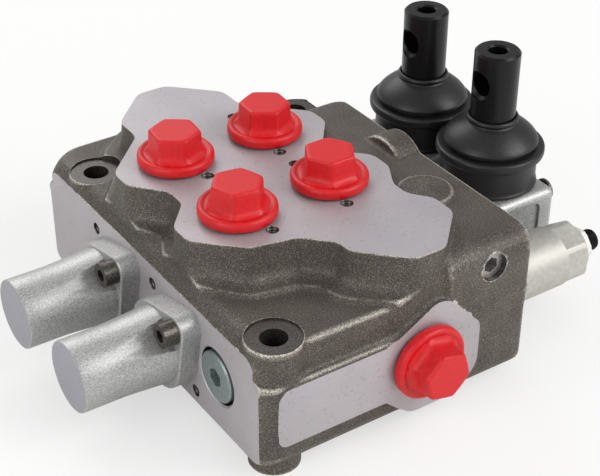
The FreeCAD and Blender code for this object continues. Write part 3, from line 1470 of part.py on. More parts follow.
doc.recompute()
for item in doc.Objects:
    if {"Invalid", "Error"} & set(item.State):
        raise RuntimeError(f"{item.Label} did not build: {item.State}")
os.makedirs("parts", exist_ok=True)
for item in nodes:
    shape = item.Shape
    if shape.isNull() or not shape.isValid():
        raise RuntimeError(f"{item.Label} has no valid shape")
    shape.exportStep(f"parts/{item.Label}.step")
    print(item.Label, "solids", len(shape.Solids), "volume", round(shape.Volume, 1))
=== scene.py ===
# %% [markdown]
# # Dressing a hydraulic control valve
# The valve is a cast iron block with two spools running through it. This lesson loads the measured solids
# as a fixed frame, lays a cast and milled skin over the block, and makes the caps, the relief valve, the
# red plugs and the rubber boots anew. Every other piece keeps its solid and gets the finish that its real
# material has. Sizes are in millimetres and turned to metres when a mesh is made.

# %% Load the frame
import json
import math

import bmesh
import bpy
import numpy as np
from mathutils import Matrix, Vector


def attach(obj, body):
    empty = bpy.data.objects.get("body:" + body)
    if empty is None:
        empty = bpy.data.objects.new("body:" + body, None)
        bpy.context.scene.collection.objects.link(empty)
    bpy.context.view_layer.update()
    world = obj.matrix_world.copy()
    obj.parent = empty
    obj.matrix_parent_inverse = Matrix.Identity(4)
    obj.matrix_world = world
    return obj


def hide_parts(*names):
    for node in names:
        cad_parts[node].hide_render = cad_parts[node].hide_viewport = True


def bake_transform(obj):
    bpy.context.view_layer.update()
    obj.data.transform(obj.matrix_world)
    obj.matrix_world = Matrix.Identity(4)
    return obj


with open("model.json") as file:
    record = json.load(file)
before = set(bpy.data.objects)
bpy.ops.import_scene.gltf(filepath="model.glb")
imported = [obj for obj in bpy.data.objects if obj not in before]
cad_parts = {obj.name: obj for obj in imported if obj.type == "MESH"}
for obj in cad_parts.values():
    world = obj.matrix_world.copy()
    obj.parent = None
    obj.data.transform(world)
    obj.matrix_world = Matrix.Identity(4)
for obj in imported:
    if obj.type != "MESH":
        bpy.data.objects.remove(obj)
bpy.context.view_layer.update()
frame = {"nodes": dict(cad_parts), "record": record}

print("nodes", len(frame["nodes"]))

# %% [markdown]
# The frame's origin is a mounting hole. The valve is easier to describe from the middle of its four work
# ports, so every point below is written from there, in millimetres, and one function moves it to the frame.
# The places that several pieces share come first.

# %% From the ports' middle to the frame
PORTS_MIDDLE = np.array([33.5, -51.5, 0.0])
SPOOLS = {"1": -20.0, "2": 20.0}
AXIS_HEIGHT = 24.0
GALLERY_HEIGHT = 25.3
LEVER_X = 88.6
FRONT, REAR, NEAR, FAR, TOP = -43.5, 60.0, -75.8, 74.3, 63.0
RELIEF_Y, CHECK_Y = -54.0, -47.1
INLET_X, OUTLET_X = 17.5, 0.5
PORT_X = 18.0
SCREW_SIDE, SCREW_UP = 13.3, 13.6


def to_frame(points):
    """Adds the place of the ports' middle and turns millimetres to metres."""
    return (np.asarray(points, float) + PORTS_MIDDLE) / 1000.0


print("ports' middle in the frame", to_frame([0, 0, 0]))

# %% [markdown]
# A colour is picked on the screen as a hex number, but the renderer works in linear light. One function
# turns the first into the second. Another adds a shader node, sets its sockets and links it, for every
# material below.

# %% Colours and nodes


def colour(code):
    """Hex sRGB to linear RGBA: below 0.04045 a straight line, above it a power of 2.4."""
    parts = np.array([int(code[i:i + 2], 16) for i in (1, 3, 5)]) / 255.0
    linear = np.where(parts <= 0.04045, parts / 12.92, ((parts + 0.055) / 1.055) ** 2.4)
    return (*linear.tolist(), 1.0)


def add_node(material, kind, settings=None, **sockets):
    """Adds one node. A socket, given by name or as _1 by number, gets a value or a (node, output) pair."""
    tree = material.node_tree
    node = tree.nodes.new("ShaderNode" + kind)
    for key, value in (settings or {}).items():
        setattr(node, key, value)
    for key, value in sockets.items():
        name = int(key[1:]) if key[0] == "_" and key[1:].isdigit() else key.replace("_", " ")
        if isinstance(value, tuple) and len(value) == 2 and isinstance(value[0], bpy.types.Node):
            tree.links.new(value[0].outputs[value[1]], node.inputs[name])
        else:
            node.inputs[name].default_value = value
    return node


def new_material(name):
    """An empty material with its output and its principled shader."""
    material = bpy.data.materials.new(name)
    material.use_nodes = True
    material.node_tree.nodes.clear()
    shader = add_node(material, "BsdfPrincipled")
    output = add_node(material, "OutputMaterial")
    material.node_tree.links.new(shader.outputs["BSDF"], output.inputs["Surface"])
    return material, shader


def link(material, node, output, target, socket):
    material.node_tree.links.new(node.outputs[output], target.inputs[socket])


print("dark grey in linear light", [round(part, 3) for part in colour("#5a544e")])

# %% [markdown]
# Cast iron comes out of a sand mould, so its skin copies the sand: grains well under a millimetre, with
# tips that are rubbed bright in handling and hollows that stay dark. A fine noise gives the grain, a coarse
# one the patches of oxide, and the mesh's own pointiness lays a pale tone on the ridges, partly wear and
# partly a painted highlight.

# %% Cast iron skin
GRAIN = 0.00042
PATCHES_PER_METRE = 70.0  # each is some 14 mm wide


def cast_iron():
    """Three tones by the fine noise times a shade by the coarse one; ridges pale with wear and painted
    highlight.
    """
    material, shader = new_material("sand_cast_iron")
    place = add_node(material, "TexCoord")
    grain = add_node(material, "TexNoise", Vector=(place, "Object"), Scale=1 / GRAIN, Detail=2.0,
                     Roughness=0.6)
    patches = add_node(material, "TexNoise", Vector=(place, "Object"), Scale=PATCHES_PER_METRE, Detail=3.0)
    tips = add_node(material, "ValToRGB", Fac=(grain, "Fac"))
    tips.color_ramp.elements[0].position = 0.38
    tips.color_ramp.elements[0].color = colour("#453f3a")
    tips.color_ramp.elements[1].position = 0.72
    tips.color_ramp.elements[1].color = colour("#958d84")
    middle = tips.color_ramp.elements.new(0.56)
    middle.color = colour("#665f58")
    shade = add_node(material, "MapRange", Value=(patches, "Fac"), _1=0.35, _2=0.65, _3=0.74, _4=1.0)
    toned = add_node(material, "MixRGB", {"blend_type": "MULTIPLY"}, Fac=1.0, Color1=(tips, "Color"))
    link(material, shade, "Result", toned, "Color2")
    shape = add_node(material, "NewGeometry")
    # Ridges found by pointiness turn pale: partly rubbed wear, partly a painted highlight along the edges.
    ridge = add_node(material, "MapRange", Value=(shape, "Pointiness"), _1=0.51, _2=0.545, _3=0.0, _4=1.0)
    speck = add_node(material, "MapRange", Value=(grain, "Fac"), _1=0.36, _2=0.56, _3=0.15, _4=1.0)
    wear_and_highlight_mask = add_node(material, "Math", {"operation": "MULTIPLY"}, _0=(ridge, "Result"), _1=(speck, "Result"))
    edge_wear_and_highlight = add_node(material, "MixRGB", Fac=(wear_and_highlight_mask, "Value"), Color1=(toned, "Color"),
                    Color2=colour("#e2dbce"))
    bump = add_node(material, "Bump", Strength=0.6, Distance=0.0002, Height=(grain, "Fac"))
    link(material, edge_wear_and_highlight, "Color", shader, "Base Color")
    link(material, bump, "Normal", shader, "Normal")
    shader.inputs["Metallic"].default_value = 0.35
    shader.inputs["Roughness"].default_value = 0.5
    return material


CAST_IRON = cast_iron()
print("grain of the casting", GRAIN * 1000, "mm")

# %% [markdown]
# The faces that take pipes and covers are milled after casting. A face mill leaves very fine arcs and a
# pale, even satin. Iron's carbon keeps it greyer than steel. The marks are stretched noise, far too fine to
# count.

# %% Milled iron


MARKS_PER_METRE = 2600.0  # 0.4 mm apart
PORES_PER_METRE = 900.0  # 1.1 mm apart
CLOUDS_PER_METRE = 45.0  # 22 mm wide


def milled_iron():
    """One tone times a level from pores and clouds, with noise stretched along a slant as gloss and bump."""
    material, shader = new_material("milled_iron")
    place = add_node(material, "TexCoord")
    slant = add_node(material, "Mapping", Vector=(place, "Object"))
    slant.inputs["Rotation"].default_value = (0.0, 0.0, math.radians(38))
    slant.inputs["Scale"].default_value = (1.0, 0.06, 1.0)
    lines = add_node(material, "TexNoise", Vector=(slant, "Vector"), Scale=MARKS_PER_METRE, Detail=2.0)
    pores = add_node(material, "TexNoise", Vector=(place, "Object"), Scale=PORES_PER_METRE, Detail=1.0)
    clouds = add_node(material, "TexNoise", Vector=(place, "Object"), Scale=CLOUDS_PER_METRE, Detail=2.0)
    pit = add_node(material, "MapRange", Value=(pores, "Fac"), _1=0.28, _2=0.36, _3=0.82, _4=1.0)
    soft = add_node(material, "MapRange", Value=(clouds, "Fac"), _1=0.3, _2=0.7, _3=0.93, _4=1.05)
    level = add_node(material, "Math", {"operation": "MULTIPLY"}, _0=(pit, "Result"), _1=(soft, "Result"))
    toned = add_node(material, "MixRGB", {"blend_type": "MULTIPLY"}, Fac=1.0, Color1=colour("#b3aeb2"))
    link(material, level, "Value", toned, "Color2")
    rough = add_node(material, "MapRange", Value=(lines, "Fac"), _1=0.3, _2=0.7, _3=0.4, _4=0.52)
    bump = add_node(material, "Bump", Strength=0.12, Distance=0.00004, Height=(lines, "Fac"))
    link(material, toned, "Color", shader, "Base Color")
    link(material, rough, "Result", shader, "Roughness")
    link(material, bump, "Normal", shader, "Normal")
    shader.inputs["Metallic"].default_value = 0.4
    return material


MILLED_IRON = milled_iron()
print("milled faces are", MILLED_IRON.name)

# %% [markdown]
# Plainer metals, plastics and rubbers differ in colour, in roughness and in the size of their grain, so one
# recipe serves them all: a grain of a real size that moves the colour and the roughness a little and raises
# a slight bump. The numbers after the two colours are the grain in millimetres, the roughness, how metallic
# it is, and the bump.

# %% Grained metals, plastics and rubber


def grained(name, low, high, grain_mm, roughness, metallic, bump_mm=0.02):
    """Colour between two tones by a noise of the grain's size, with the same noise as bump."""
    material, shader = new_material(name)
    place = add_node(material, "TexCoord")
    grain = add_node(material, "TexNoise", Vector=(place, "Object"), Scale=1000.0 / grain_mm, Detail=3.0)
    tone = add_node(material, "ValToRGB", Fac=(grain, "Fac"))
    tone.color_ramp.elements[0].position = 0.32
    tone.color_ramp.elements[0].color = colour(low)
    tone.color_ramp.elements[1].position = 0.68
    tone.color_ramp.elements[1].color = colour(high)
    rough = add_node(material, "MapRange", Value=(grain, "Fac"), _1=0.3, _2=0.7,
                     _3=roughness - 0.05, _4=roughness + 0.06)
    bump = add_node(material, "Bump", Strength=0.35, Distance=bump_mm / 1000.0, Height=(grain, "Fac"))
    link(material, tone, "Color", shader, "Base Color")
    link(material, rough, "Result", shader, "Roughness")
    link(material, bump, "Normal", shader, "Normal")
    shader.inputs["Metallic"].default_value = metallic
    return material


FINISHES = {
    # Die cast, then blasted with shot: pale, sparkling, with a wide soft highlight.
    "die_cast_aluminium": grained("shot_blasted_aluminium", "#939598", "#d0cfcb", 0.45, 0.46, 0.65, 0.03),
    # Moulded polyethylene: even, waxy red.
    "red_plastic": grained("moulded_red_polyethylene", "#c80510", "#d80d18", 1.5, 0.46, 0.0, 0.01),
    # Black oxide under oil: brownish dark, with bright worn specks.
    "oxide_steel": grained("oiled_oxide_steel", "#35302d", "#77716b", 0.5, 0.36, 0.85, 0.02),
    # Seals and gaskets show as a thin dark line at most, dull against the metal.
    "seal_rubber": grained("seal_rubber", "#0d0d0d", "#161616", 0.8, 0.5, 0.0),
    "gasket_sheet": grained("gasket_sheet", "#1b1b1a", "#262625", 0.8, 0.7, 0.0),
    # Moulded rubber: nearly black, with a dull sheen on its rounds.
    "black_rubber": grained("moulded_black_rubber", "#0e0e10", "#19191b", 0.9, 0.42, 0.0, 0.012),
    # Blackened steel: black, with a narrower highlight than rubber.
    "blackened_steel": grained("blackened_steel", "#101011", "#1f1f21", 0.4, 0.33, 0.6, 0.01),
    # Zinc plate: pale, faintly green, with soft highlights.
    "zinc_plated_steel": grained("zinc_plated_steel", "#aaaea6", "#cbcdc3", 0.7, 0.32, 0.8, 0.01),
    # Moulded nylon: a clean, slightly warm white with little gloss.
    "white_plastic": grained("white_nylon", "#dcdcd6", "#efefea", 1.0, 0.45, 0.0),
    # Steel inside: ground is brightest, turned a little duller, oiled spring wire dark.
    "ground_steel": grained("ground_steel", "#9c9da0", "#c2c3c5", 0.3, 0.25, 0.9),
    "turned_steel": grained("turned_steel", "#8a8b8d", "#aeafb1", 0.4, 0.35, 0.9),
    "spring_steel": grained("oiled_spring_wire", "#4a4a4c", "#6b6b6e", 0.4, 0.35, 0.9),
    "cast_iron": CAST_IRON,
}
node_slots = {part["node"]: part["material_slot"] for part in frame["record"]["subparts"]}
for node_name, item in frame["nodes"].items():
    for slot in item.material_slots:
        slot.material = FINISHES[node_slots[node_name]]
# The closing plug is phosphated, a greenish grey. The grub plug is bare steel, rubbed bright.
OWN_FINISHES = {
    "hex_socket_plug": grained("phosphated_steel", "#7d8a8b", "#9aa6a5", 0.8, 0.4, 0.6, 0.01),
    "grub_plug": grained("bright_grub_steel", "#8f8c8c", "#b9b6b6", 0.6, 0.34, 0.8, 0.02),
}
for node_name, finish in OWN_FINISHES.items():
    for slot in frame["nodes"][node_name].material_slots:
        slot.material = finish
print("finishes", len(FINISHES), "for", len(node_slots), "nodes")

# %% [markdown]
# A new piece is a grid of points: one direction goes round or along, the other across. The grid's cells
# become faces. A closed direction wraps round, and rows that end in one point close a pole, because points
# at the same place are merged.

# %% Meshes from grids


def new_piece(name, vertices, faces, material, smooth_angle=40.0):
    """Makes a mesh object in the frame from millimetre points counted from the ports' middle."""
    mesh = bpy.data.meshes.new(name)
    mesh.from_pydata(to_frame(vertices), [], faces.tolist() if hasattr(faces, "tolist") else faces)
    mesh.materials.append(material)
    mesh.validate()
    work = bmesh.new()
    work.from_mesh(mesh)
    bmesh.ops.remove_doubles(work, verts=work.verts, dist=1e-6)
    bmesh.ops.recalc_face_normals(work, faces=work.faces)
    work.to_mesh(mesh)
    work.free()
    mesh.shade_smooth()
    mesh.set_sharp_from_angle(angle=math.radians(smooth_angle))
    item = bpy.data.objects.new(name, mesh)
    bpy.context.scene.collection.objects.link(item)
    return item


def grid_faces(rows, columns, wrap_rows=False, wrap_columns=True):
    """Quads between neighbouring rows and columns of a grid, given as whole index arrays."""
    last_row = rows if wrap_rows else rows - 1
    last_column = columns if wrap_columns else columns - 1
    a, b = np.meshgrid(np.arange(last_row), np.arange(last_column), indexing="ij")
    below = (a + 1) % rows
    right = (b + 1) % columns
    corners = (a * columns + b, below * columns + b, below * columns + right, a * columns + right)
    return np.stack([corner.ravel() for corner in corners], axis=1)


def angles(steps):
    """Angles round a full turn, without the last one, which is the first again."""
    return np.arange(steps) * 2 * math.pi / steps


def folded(angle, start, sectors):
    """Angle from the middle of the nearest of equal sectors, the first of which lies round the start."""
    width = 2 * math.pi / sectors
    return (angle - start + width / 2) % width - width / 2


def turned(along, radius, angle, axis="X"):
    """Points round an axis: the radius, per row or per row and angle, times the angle's cosine and sine."""
    length = np.repeat(np.asarray(along, float)[:, None], len(angle), axis=1)
    radius = np.asarray(radius, float).reshape(len(along), -1)
    points = np.stack([length, radius * np.cos(angle), radius * np.sin(angle)], -1).reshape(-1, 3)
    return points if axis == "X" else points[:, [1, 2, 0]]


def rounded(corners, radius, step=7.5):
    """Replaces each corner of a closed outline by an arc that touches both of its sides."""
    corners = np.asarray(corners, float)
    radius = np.broadcast_to(radius, len(corners))
    outline = []
    for index, corner in enumerate(corners):
        back = corners[index - 1] - corner
        ahead = corners[(index + 1) % len(corners)] - corner
        back, ahead = back / np.linalg.norm(back), ahead / np.linalg.norm(ahead)
        half = math.acos(np.clip(back @ ahead, -1, 1)) / 2
        reach = radius[index] / math.tan(half)
        middle = corner + (back + ahead) / np.linalg.norm(back + ahead) * radius[index] / math.sin(half)
        first, last = corner + back * reach - middle, corner + ahead * reach - middle
        sweep = math.pi - 2 * half
        count = max(2, int(math.degrees(sweep) / step) + 1)
        share = np.linspace(0, 1, count)[:, None]
        turn = np.sin((1 - share) * sweep) * first + np.sin(share * sweep) * last
        outline.append(middle + turn / math.sin(sweep))
    return np.concatenate(outline)


print("a rounded square has", len(rounded([(0, 0), (9, 0), (9, 9), (0, 9)], 2)), "points")

# %% [markdown]
# ## The casting
# A real casting is poured with a little extra on the faces that are milled later. The same order works
# here: simple blocks are joined into one rough shape, remeshed into a fine even skin, and smoothed, which
# rounds every edge and fills every corner as sand does. Then flat cuts take the extra off and leave crisp
# milled faces with soft cast edges around them, and drilling comes last.

# %% Outline of the milled land
LAND = [
    (-39.2, 24.5), (-39.2, 15.5), (-29.5, 4.5), (-29.5, -4.5), (-39.2, -15.5), (-39.2, -24.5),
    (-25.2, -38.5), (-9.5, -41.8), (-0.2, -51.0), (-0.2, -57.05), (14.65, -71.9), (26.15, -71.9),
    (41.0, -57.05), (41.0, -47.0), (35.2, -40.0), (35.2, -32.5), (40.8, -22.25), (40.8, -13.25),
    (32.0, -4.5), (32.0, 4.5), (40.8, 15.5), (40.8, 24.5), (21.8, 43.5), (21.8, 54.85), (6.25, 70.4),
    (-5.25, 70.4), (-20.8, 54.85), (-20.8, 42.9),
]
land_outline = rounded(LAND, 6.0)


def offset(outline, distance):
    """Moves each point of a closed outline out along the mean normal of its two sides."""
    ahead = np.roll(outline, -1, axis=0) - outline
    behind = outline - np.roll(outline, 1, axis=0)
    tangent = ahead / np.linalg.norm(ahead, axis=1)[:, None]
    tangent = tangent + behind / np.linalg.norm(behind, axis=1)[:, None]
    normal = np.stack([tangent[:, 1], -tangent[:, 0]], axis=1)
    normal /= np.linalg.norm(normal, axis=1)[:, None]
    area = np.sum(outline[:, 0] * np.roll(outline[:, 1], -1) - outline[:, 1] * np.roll(outline[:, 0], -1))
    return outline + normal * distance * (1 if area > 0 else -1)


print("land outline", len(land_outline), "points")

# %% [markdown]
# Each rough block is a stack of outlines with the same number of points, shut by flat ends. Outlines that
# shrink from level to level make the draft that lets a pattern leave the sand, and big rounded shoulders.

# %% Rough blocks of the casting
ALLOWANCE = 1.6  # metal that milling takes off
VOXEL = 0.75  # cell of the cast skin


def loft(levels, axis="Z"):
    """Vertices and faces of a stack of outlines, each given with its height along the axis."""
    count = len(levels[0][1])
    rings = [np.column_stack([outline, np.full(count, height)]) for height, outline in levels]
    points = np.concatenate(rings)
    if axis == "Y":
        points = points[:, [0, 2, 1]]
    if axis == "X":
        points = points[:, [2, 0, 1]]
    last = len(points)
    sides = grid_faces(len(levels), count).tolist()
    return points, sides + [list(range(count))[::-1], list(range(last - count, last))]


def prism(outline, bottom, top, axis="Z"):
    return loft([(bottom, outline), (top, outline)], axis)


def rectangle(x0, y0, x1, y1, radius=3.0):
    return rounded([(x0, y0), (x1, y0), (x1, y1), (x0, y1)], radius)


def disc(x, y, radius, steps=48):
    angle = angles(steps)
    return np.column_stack([x + radius * np.cos(angle), y + radius * np.sin(angle)])


print("a block has", len(prism(disc(0, 0, 1), 0, 1)[0]), "points")

# %% [markdown]
# The pattern has five main forms. The base carries a low ledge on the inlet side. The tier above it is set
# back and has a soft shoulder at the front and the sides. The bank stands at the rear. The land rises in
# the middle with a wall that sweeps out into a terrace at its foot. Pads and round bosses stand a little
# proud, so that milling cuts them. Most forms are one outline, repeated at several heights and drawn in a
# little more at each, so that its edges come out rounded.

# %% Forms of the pattern


def base_blocks():
    """Base with the parting line's lip along the top of its side, and the rounded ledge over it."""
    front = FRONT - ALLOWANCE

    def outline(inset):
        return rectangle(front, -75.0 + inset, REAR + ALLOWANCE, 73.7 - inset, (8.0, 3.0, 3.0, 8.0))

    levels = ((5.6, 1.6), (8.0, 0.0), (35.0, 0.0), (35.3, -0.7), (36.9, -0.7), (37.5, 0.2), (37.6, 2.2))
    return [loft([(height, outline(inset)) for height, inset in levels])]


def tier_blocks():
    """Tier with its soft shoulder. At the far rear it ends round the mounting boss, above the base."""
    front = FRONT - ALLOWANCE

    def outline(ahead, aside):
        corners = [(front + ahead, -72.9 + aside), (REAR + ALLOWANCE, -74.3 + aside),
                   (REAR + ALLOWANCE, 61.0 - aside), (34.0, 61.0 - aside), (27.0, 72.4 - aside),
                   (front + ahead, 72.4 - aside)]
        return rounded(corners, (9.0, 4.0, 9.5, 6.0, 6.0, 9.0))

    levels = ((5.8, 0.3, 0.0), (42.4, 0.3, 0.0), (44.6, 1.6, 0.1), (46.6, 3.1, 0.3), (48.0, 5.0, 0.7),
              (48.7, 7.2, 1.5))
    return [loft([(height, outline(ahead, aside)) for height, ahead, aside in levels])]


def bank_blocks():
    """Bank with broad rounded edges, its hump between the levers and the low disc beside the land."""

    def outline(aside):
        return rectangle(25.0, -75.4 + aside, REAR + ALLOWANCE, 37.0 - aside, (3.0, 3.4, 5.0, 5.0))

    levels = ((30.0, 0.0), (52.6, 0.0), (55.4, 0.9), (57.4, 2.6), (58.6, 5.2), (58.8, 7.0))
    return [
        loft([(height, outline(aside)) for height, aside in levels]),
        prism(disc(-6.0, 49.3, 13.4), 50.5, REAR + ALLOWANCE, "X"),
        prism(disc(45.0, -37.5, 9.6), 50.0, 60.2),
    ]


def land_blocks():
    """Land whose wall leans out a little and then sweeps into a terrace with a crisp edge."""

    def outline(distance):
        return np.clip(offset(land_outline, distance), (-40.4, -73.6), (99.0, 72.0))

    sweep = ((TOP + ALLOWANCE, 0.0), (57.0, 0.7), (53.4, 1.2), (51.4, 2.1), (50.5, 3.5), (50.1, 5.0),
             (50.0, 6.6), (49.8, 7.5), (48.8, 7.8), (42.0, 7.8))
    return [loft([(height, outline(distance)) for height, distance in sweep[::-1]])]


def side_blocks():
    """Pads and port bosses of the two sides, with the extra that the mill takes off."""
    pad = rounded([(-38.6, 13.7), (20.0, 13.7), (20.0, 34.5), (-38.6, 34.5)], 3.4)
    inlet = rounded([(1.5, 34.3), (23.4, 47.0), (39.7, 30.0), (39.7, 13.0), (30.5, 4.6), (12.5, 4.6),
                     (1.5, 14.6)], (4.0, 6.0, 6.0, 9.0, 8.0, 8.0, 6.0))
    return [
        prism(pad, -60.0, NEAR - ALLOWANCE, "Y"),
        prism(inlet, -60.0, NEAR - ALLOWANCE, "Y"),
        prism(disc(OUTLET_X, GALLERY_HEIGHT, 22.4), 60.0, FAR + ALLOWANCE, "Y"),
    ]


MOUNTING_HOLES = ((-33.5, -65.0, 9.8), (-33.5, 51.5, 9.8), (51.5, 51.5, 9.0))  # place and the post's radius
FOOT_RADIUS = 8.6


def foot_blocks():
    """Posts round the mounting holes, a little smaller at their top, and the feet under them."""
    blocks = []
    for x, y, radius in MOUNTING_HOLES:
        post, top = disc(x, y, radius), disc(x, y, radius - 0.6)
        blocks.append(loft([(10.0, post), (47.4, post), (48.9, top)]))
        blocks.append(prism(disc(x, y, FOOT_RADIUS), -ALLOWANCE, 10.0))
    return blocks


FORMS = (base_blocks, tier_blocks, bank_blocks, land_blocks, side_blocks, foot_blocks)
rough = [block for form in FORMS for block in form()]
print("rough blocks", len(rough))


def join(blocks):
    """Puts several closed blocks into one list of vertices and faces."""
    vertices, faces, start = [], [], 0
    for points, sides in blocks:
        vertices.append(points)
        faces += [[index + start for index in side] for side in sides]
        start += len(points)
    return np.concatenate(vertices), faces


casting = new_piece("casting", *join(rough), CAST_IRON)
print("pattern has", len(casting.data.polygons), "faces")

# %% [markdown]
# Remesh in voxel mode joins the overlapping blocks into one skin of even cells. Smoothing then moves each
# point towards its neighbours: flat stretches stay where they are, and only edges and corners change.

# %% Remesh and smooth


def apply_modifiers(item):
    """Turns the modifiers of an object into its mesh."""
    graph = bpy.context.evaluated_depsgraph_get()
    mesh = bpy.data.meshes.new_from_object(item.evaluated_get(graph))
    item.modifiers.clear()
    item.data = mesh


remesh = casting.modifiers.new("skin", "REMESH")
remesh.mode = "VOXEL"
remesh.voxel_size = VOXEL / 1000.0
soften = casting.modifiers.new("sand", "SMOOTH")
soften.factor = 0.5
soften.iterations = 5
apply_modifiers(casting)
print("casting skin", len(casting.data.polygons), "cells")

# %% [markdown]
# Milling is a flat cut: everything outside the plane goes, and the open rim is filled with one flat face in
# the milled finish.

# %% Mill the faces
CUTS = (
    ((0.0, 0.0, TOP), (0, 0, 1)),
    ((FRONT, 0.0, 0.0), (-1, 0, 0)),
    ((REAR, 0.0, 0.0), (1, 0, 0)),
    ((0.0, NEAR, 0.0), (0, -1, 0)),
    ((0.0, FAR, 0.0), (0, 1, 0)),
    ((0.0, 0.0, 0.0), (0, 0, -1)),
)
casting.data.materials.clear()
casting.data.materials.append(CAST_IRON)
casting.data.materials.append(MILLED_IRON)
work = bmesh.new()
work.from_mesh(casting.data)
for point, normal in CUTS:
    everything = work.verts[:] + work.edges[:] + work.faces[:]
    result = bmesh.ops.bisect_plane(work, geom=everything, dist=1e-6, plane_co=to_frame(point).tolist(),
                                    plane_no=normal, clear_outer=True)
    rim = [part for part in result["geom_cut"] if isinstance(part, bmesh.types.BMEdge)]
    filled = bmesh.ops.edgeloop_fill(work, edges=rim, mat_nr=1)
    bmesh.ops.triangulate(work, faces=filled["faces"])
bmesh.ops.recalc_face_normals(work, faces=work.faces)
work.to_mesh(casting.data)
work.free()
print("after milling", len(casting.data.polygons), "faces")

# %% [markdown]
# Drilling takes round cutters away from the block with a Boolean. The cutters carry a finish darker than the
# milled faces, a painted shade for the bores, which the Boolean leaves on the walls that it makes. A cutter
# is one closed shell, also where it has two widths, because two shells that overlap can confuse the Boolean.
# The chamfer round the closing plug is cut last, in the milled finish.

# %% Drill the casting
# Bore walls: iron darker than the milled faces, a painted shade down in the holes, with a narrow sheen there.
BORE_IRON_PAINTED_SHADE = grained("bore_iron_painted_shade", "#3b3836", "#6f6a66", 0.5, 0.38, 0.8)
BOLT_RADIUS, SPOTFACE_RADIUS, SPOTFACE_HEIGHT = 4.5, 9.2, 48.1
TAP_RADIUS, TAP_DEPTH = 2.0, 11.0
SPOOL_BORE, PORT_BORE, RELIEF_BORE, CHECK_BORE, GRUB_BORE = 8.1, 9.5, 10.05, 6.58, 5.0
SOCKET_RADIUS, CHAMFER = 9.98, 0.65


def stepped(point, axis, widths, steps=72):
    """A closed round cutter in one shell: circles, given by (height along the axis, radius) from a point."""
    points, sides = loft([(height, disc(0.0, 0.0, radius, steps)) for height, radius in widths], axis)
    return points + np.asarray(point, float), sides


def cylinder(point, axis, radius, length, steps=40):
    return stepped(point, axis, ((0.0, radius), (length, radius)), steps)


def thread(point, axis, pitch=1.0, steps=28):
    """A cutter for a tapped hole: rings that go out and in by a third of the pitch, once per pitch."""
    heights = np.arange(0.0, TAP_DEPTH, pitch / 2)
    swing = np.where(np.arange(len(heights)) % 2 == 0, 0.0, pitch / 3)
    return stepped(point, axis, zip(heights, TAP_RADIUS + swing), steps)


def drill_cutters():
    """All bores that show, or that a spool, a plug or a screw sits in."""
    widths = ((-3.0, BOLT_RADIUS), (SPOTFACE_HEIGHT, BOLT_RADIUS), (SPOTFACE_HEIGHT, SPOTFACE_RADIUS),
              (54.0, SPOTFACE_RADIUS))
    cutters = [stepped((x, y, 0.0), "Z", widths) for x, y, _ in MOUNTING_HOLES]
    for y in SPOOLS.values():
        cutters.append(cylinder((-50.0, y, AXIS_HEIGHT), "X", SPOOL_BORE, 120.0, 64))
        for x in (-1, 1):
            for side in (-1, 1):
                cutters.append(thread((0.7 + 14.5 * x, y + 1.2 + 15.25 * side, 53.7), "Z"))
                cutters.append(thread((-45.2, y + SCREW_SIDE * x, AXIS_HEIGHT + SCREW_UP * side), "X"))
    cutters.append(stepped((0.0, CHECK_Y, GALLERY_HEIGHT), "X",
                           ((-46.0, 10.0), (-39.9, 10.0), (-39.9, CHECK_BORE), (9.5, CHECK_BORE))))
    cutters.append(cylinder((36.0, RELIEF_Y, GALLERY_HEIGHT), "X", RELIEF_BORE, 30.0, 64))
    cutters.append(cylinder((44.5, -80.0, 50.0), "Y", GRUB_BORE, 13.7))
    for y in SPOOLS.values():
        for x in (-PORT_X, PORT_X):
            cutters.append(cylinder((x, y, 48.0), "Z", PORT_BORE, 20.0))
    cutters.append(cylinder((INLET_X, -80.0, GALLERY_HEIGHT), "Y", PORT_BORE, 19.0))
    cutters.append(cylinder((OUTLET_X, 59.0, GALLERY_HEIGHT), "Y", PORT_BORE, 19.0))
    return cutters


chamfer = stepped((FRONT, CHECK_Y, GALLERY_HEIGHT), "X",
                  ((-1.0, SOCKET_RADIUS + CHAMFER + 1.0), (CHAMFER, SOCKET_RADIUS)))
casting.data.materials.append(BORE_IRON_PAINTED_SHADE)
for name, cutters, finish in (("bores", drill_cutters(), BORE_IRON_PAINTED_SHADE), ("chamfers", [chamfer], MILLED_IRON)):
    cutter = new_piece(name, *join(cutters), finish)
    bore = casting.modifiers.new(name, "BOOLEAN")
    bore.operation = "DIFFERENCE"
    bore.solver = "EXACT"
    bore.object = cutter
    apply_modifiers(casting)
    bpy.data.objects.remove(cutter)
casting.data.shade_smooth()
casting.data.set_sharp_from_angle(angle=math.radians(35))
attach(casting, "housing")
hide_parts("valve_body")
print("drilled casting", len(casting.data.polygons), "faces,", [m.name for m in casting.data.materials])

# %% [markdown]
# ## Red port plugs
# Dust plugs are moulded in soft polyethylene. Each has a round flange and a hexagon whose edges are softly
# rounded by the mould. The outline of each level is a mix of a circle and a hexagon, and the whole plug is
# one surface of angle and level.

# %% A plug as one surface
# Rows of (height, circle's radius, share of hexagon), from the stem's end up to the top.
PLUG_LEVELS = np.array([
    (-11.0, 0.0, 0.0), (-11.0, 8.3, 0.0), (-10.0, 9.3, 0.0), (0.8, 9.3, 0.0), (0.8, 12.6, 0.0),
    (0.95, 13.0, 0.0), (1.4, 13.25, 0.0), (3.0, 13.25, 0.0), (3.7, 13.1, 0.0), (4.25, 12.6, 0.0),
    (4.4, 12.0, 0.0), (4.3, 11.4, 0.0), (4.05, 11.0, 0.0), (4.05, 10.4, 0.15), (4.25, 9.9, 0.6),
    (4.8, 8.9, 0.95), (5.6, 8.4, 1.0), (7.0, 8.2, 1.0), (9.0, 8.1, 1.0), (10.2, 8.05, 1.0),
    (11.3, 8.0, 1.0), (11.9, 7.92, 0.96), (12.2, 7.7, 0.88), (12.36, 7.35, 0.75), (12.35, 6.6, 0.7),
    (12.3, 3.5, 0.5), (12.3, 0.0, 0.0),
])
PLUG_STEPS = 120
CORNER_REACH, CORNER_POWER = 1.138, 40


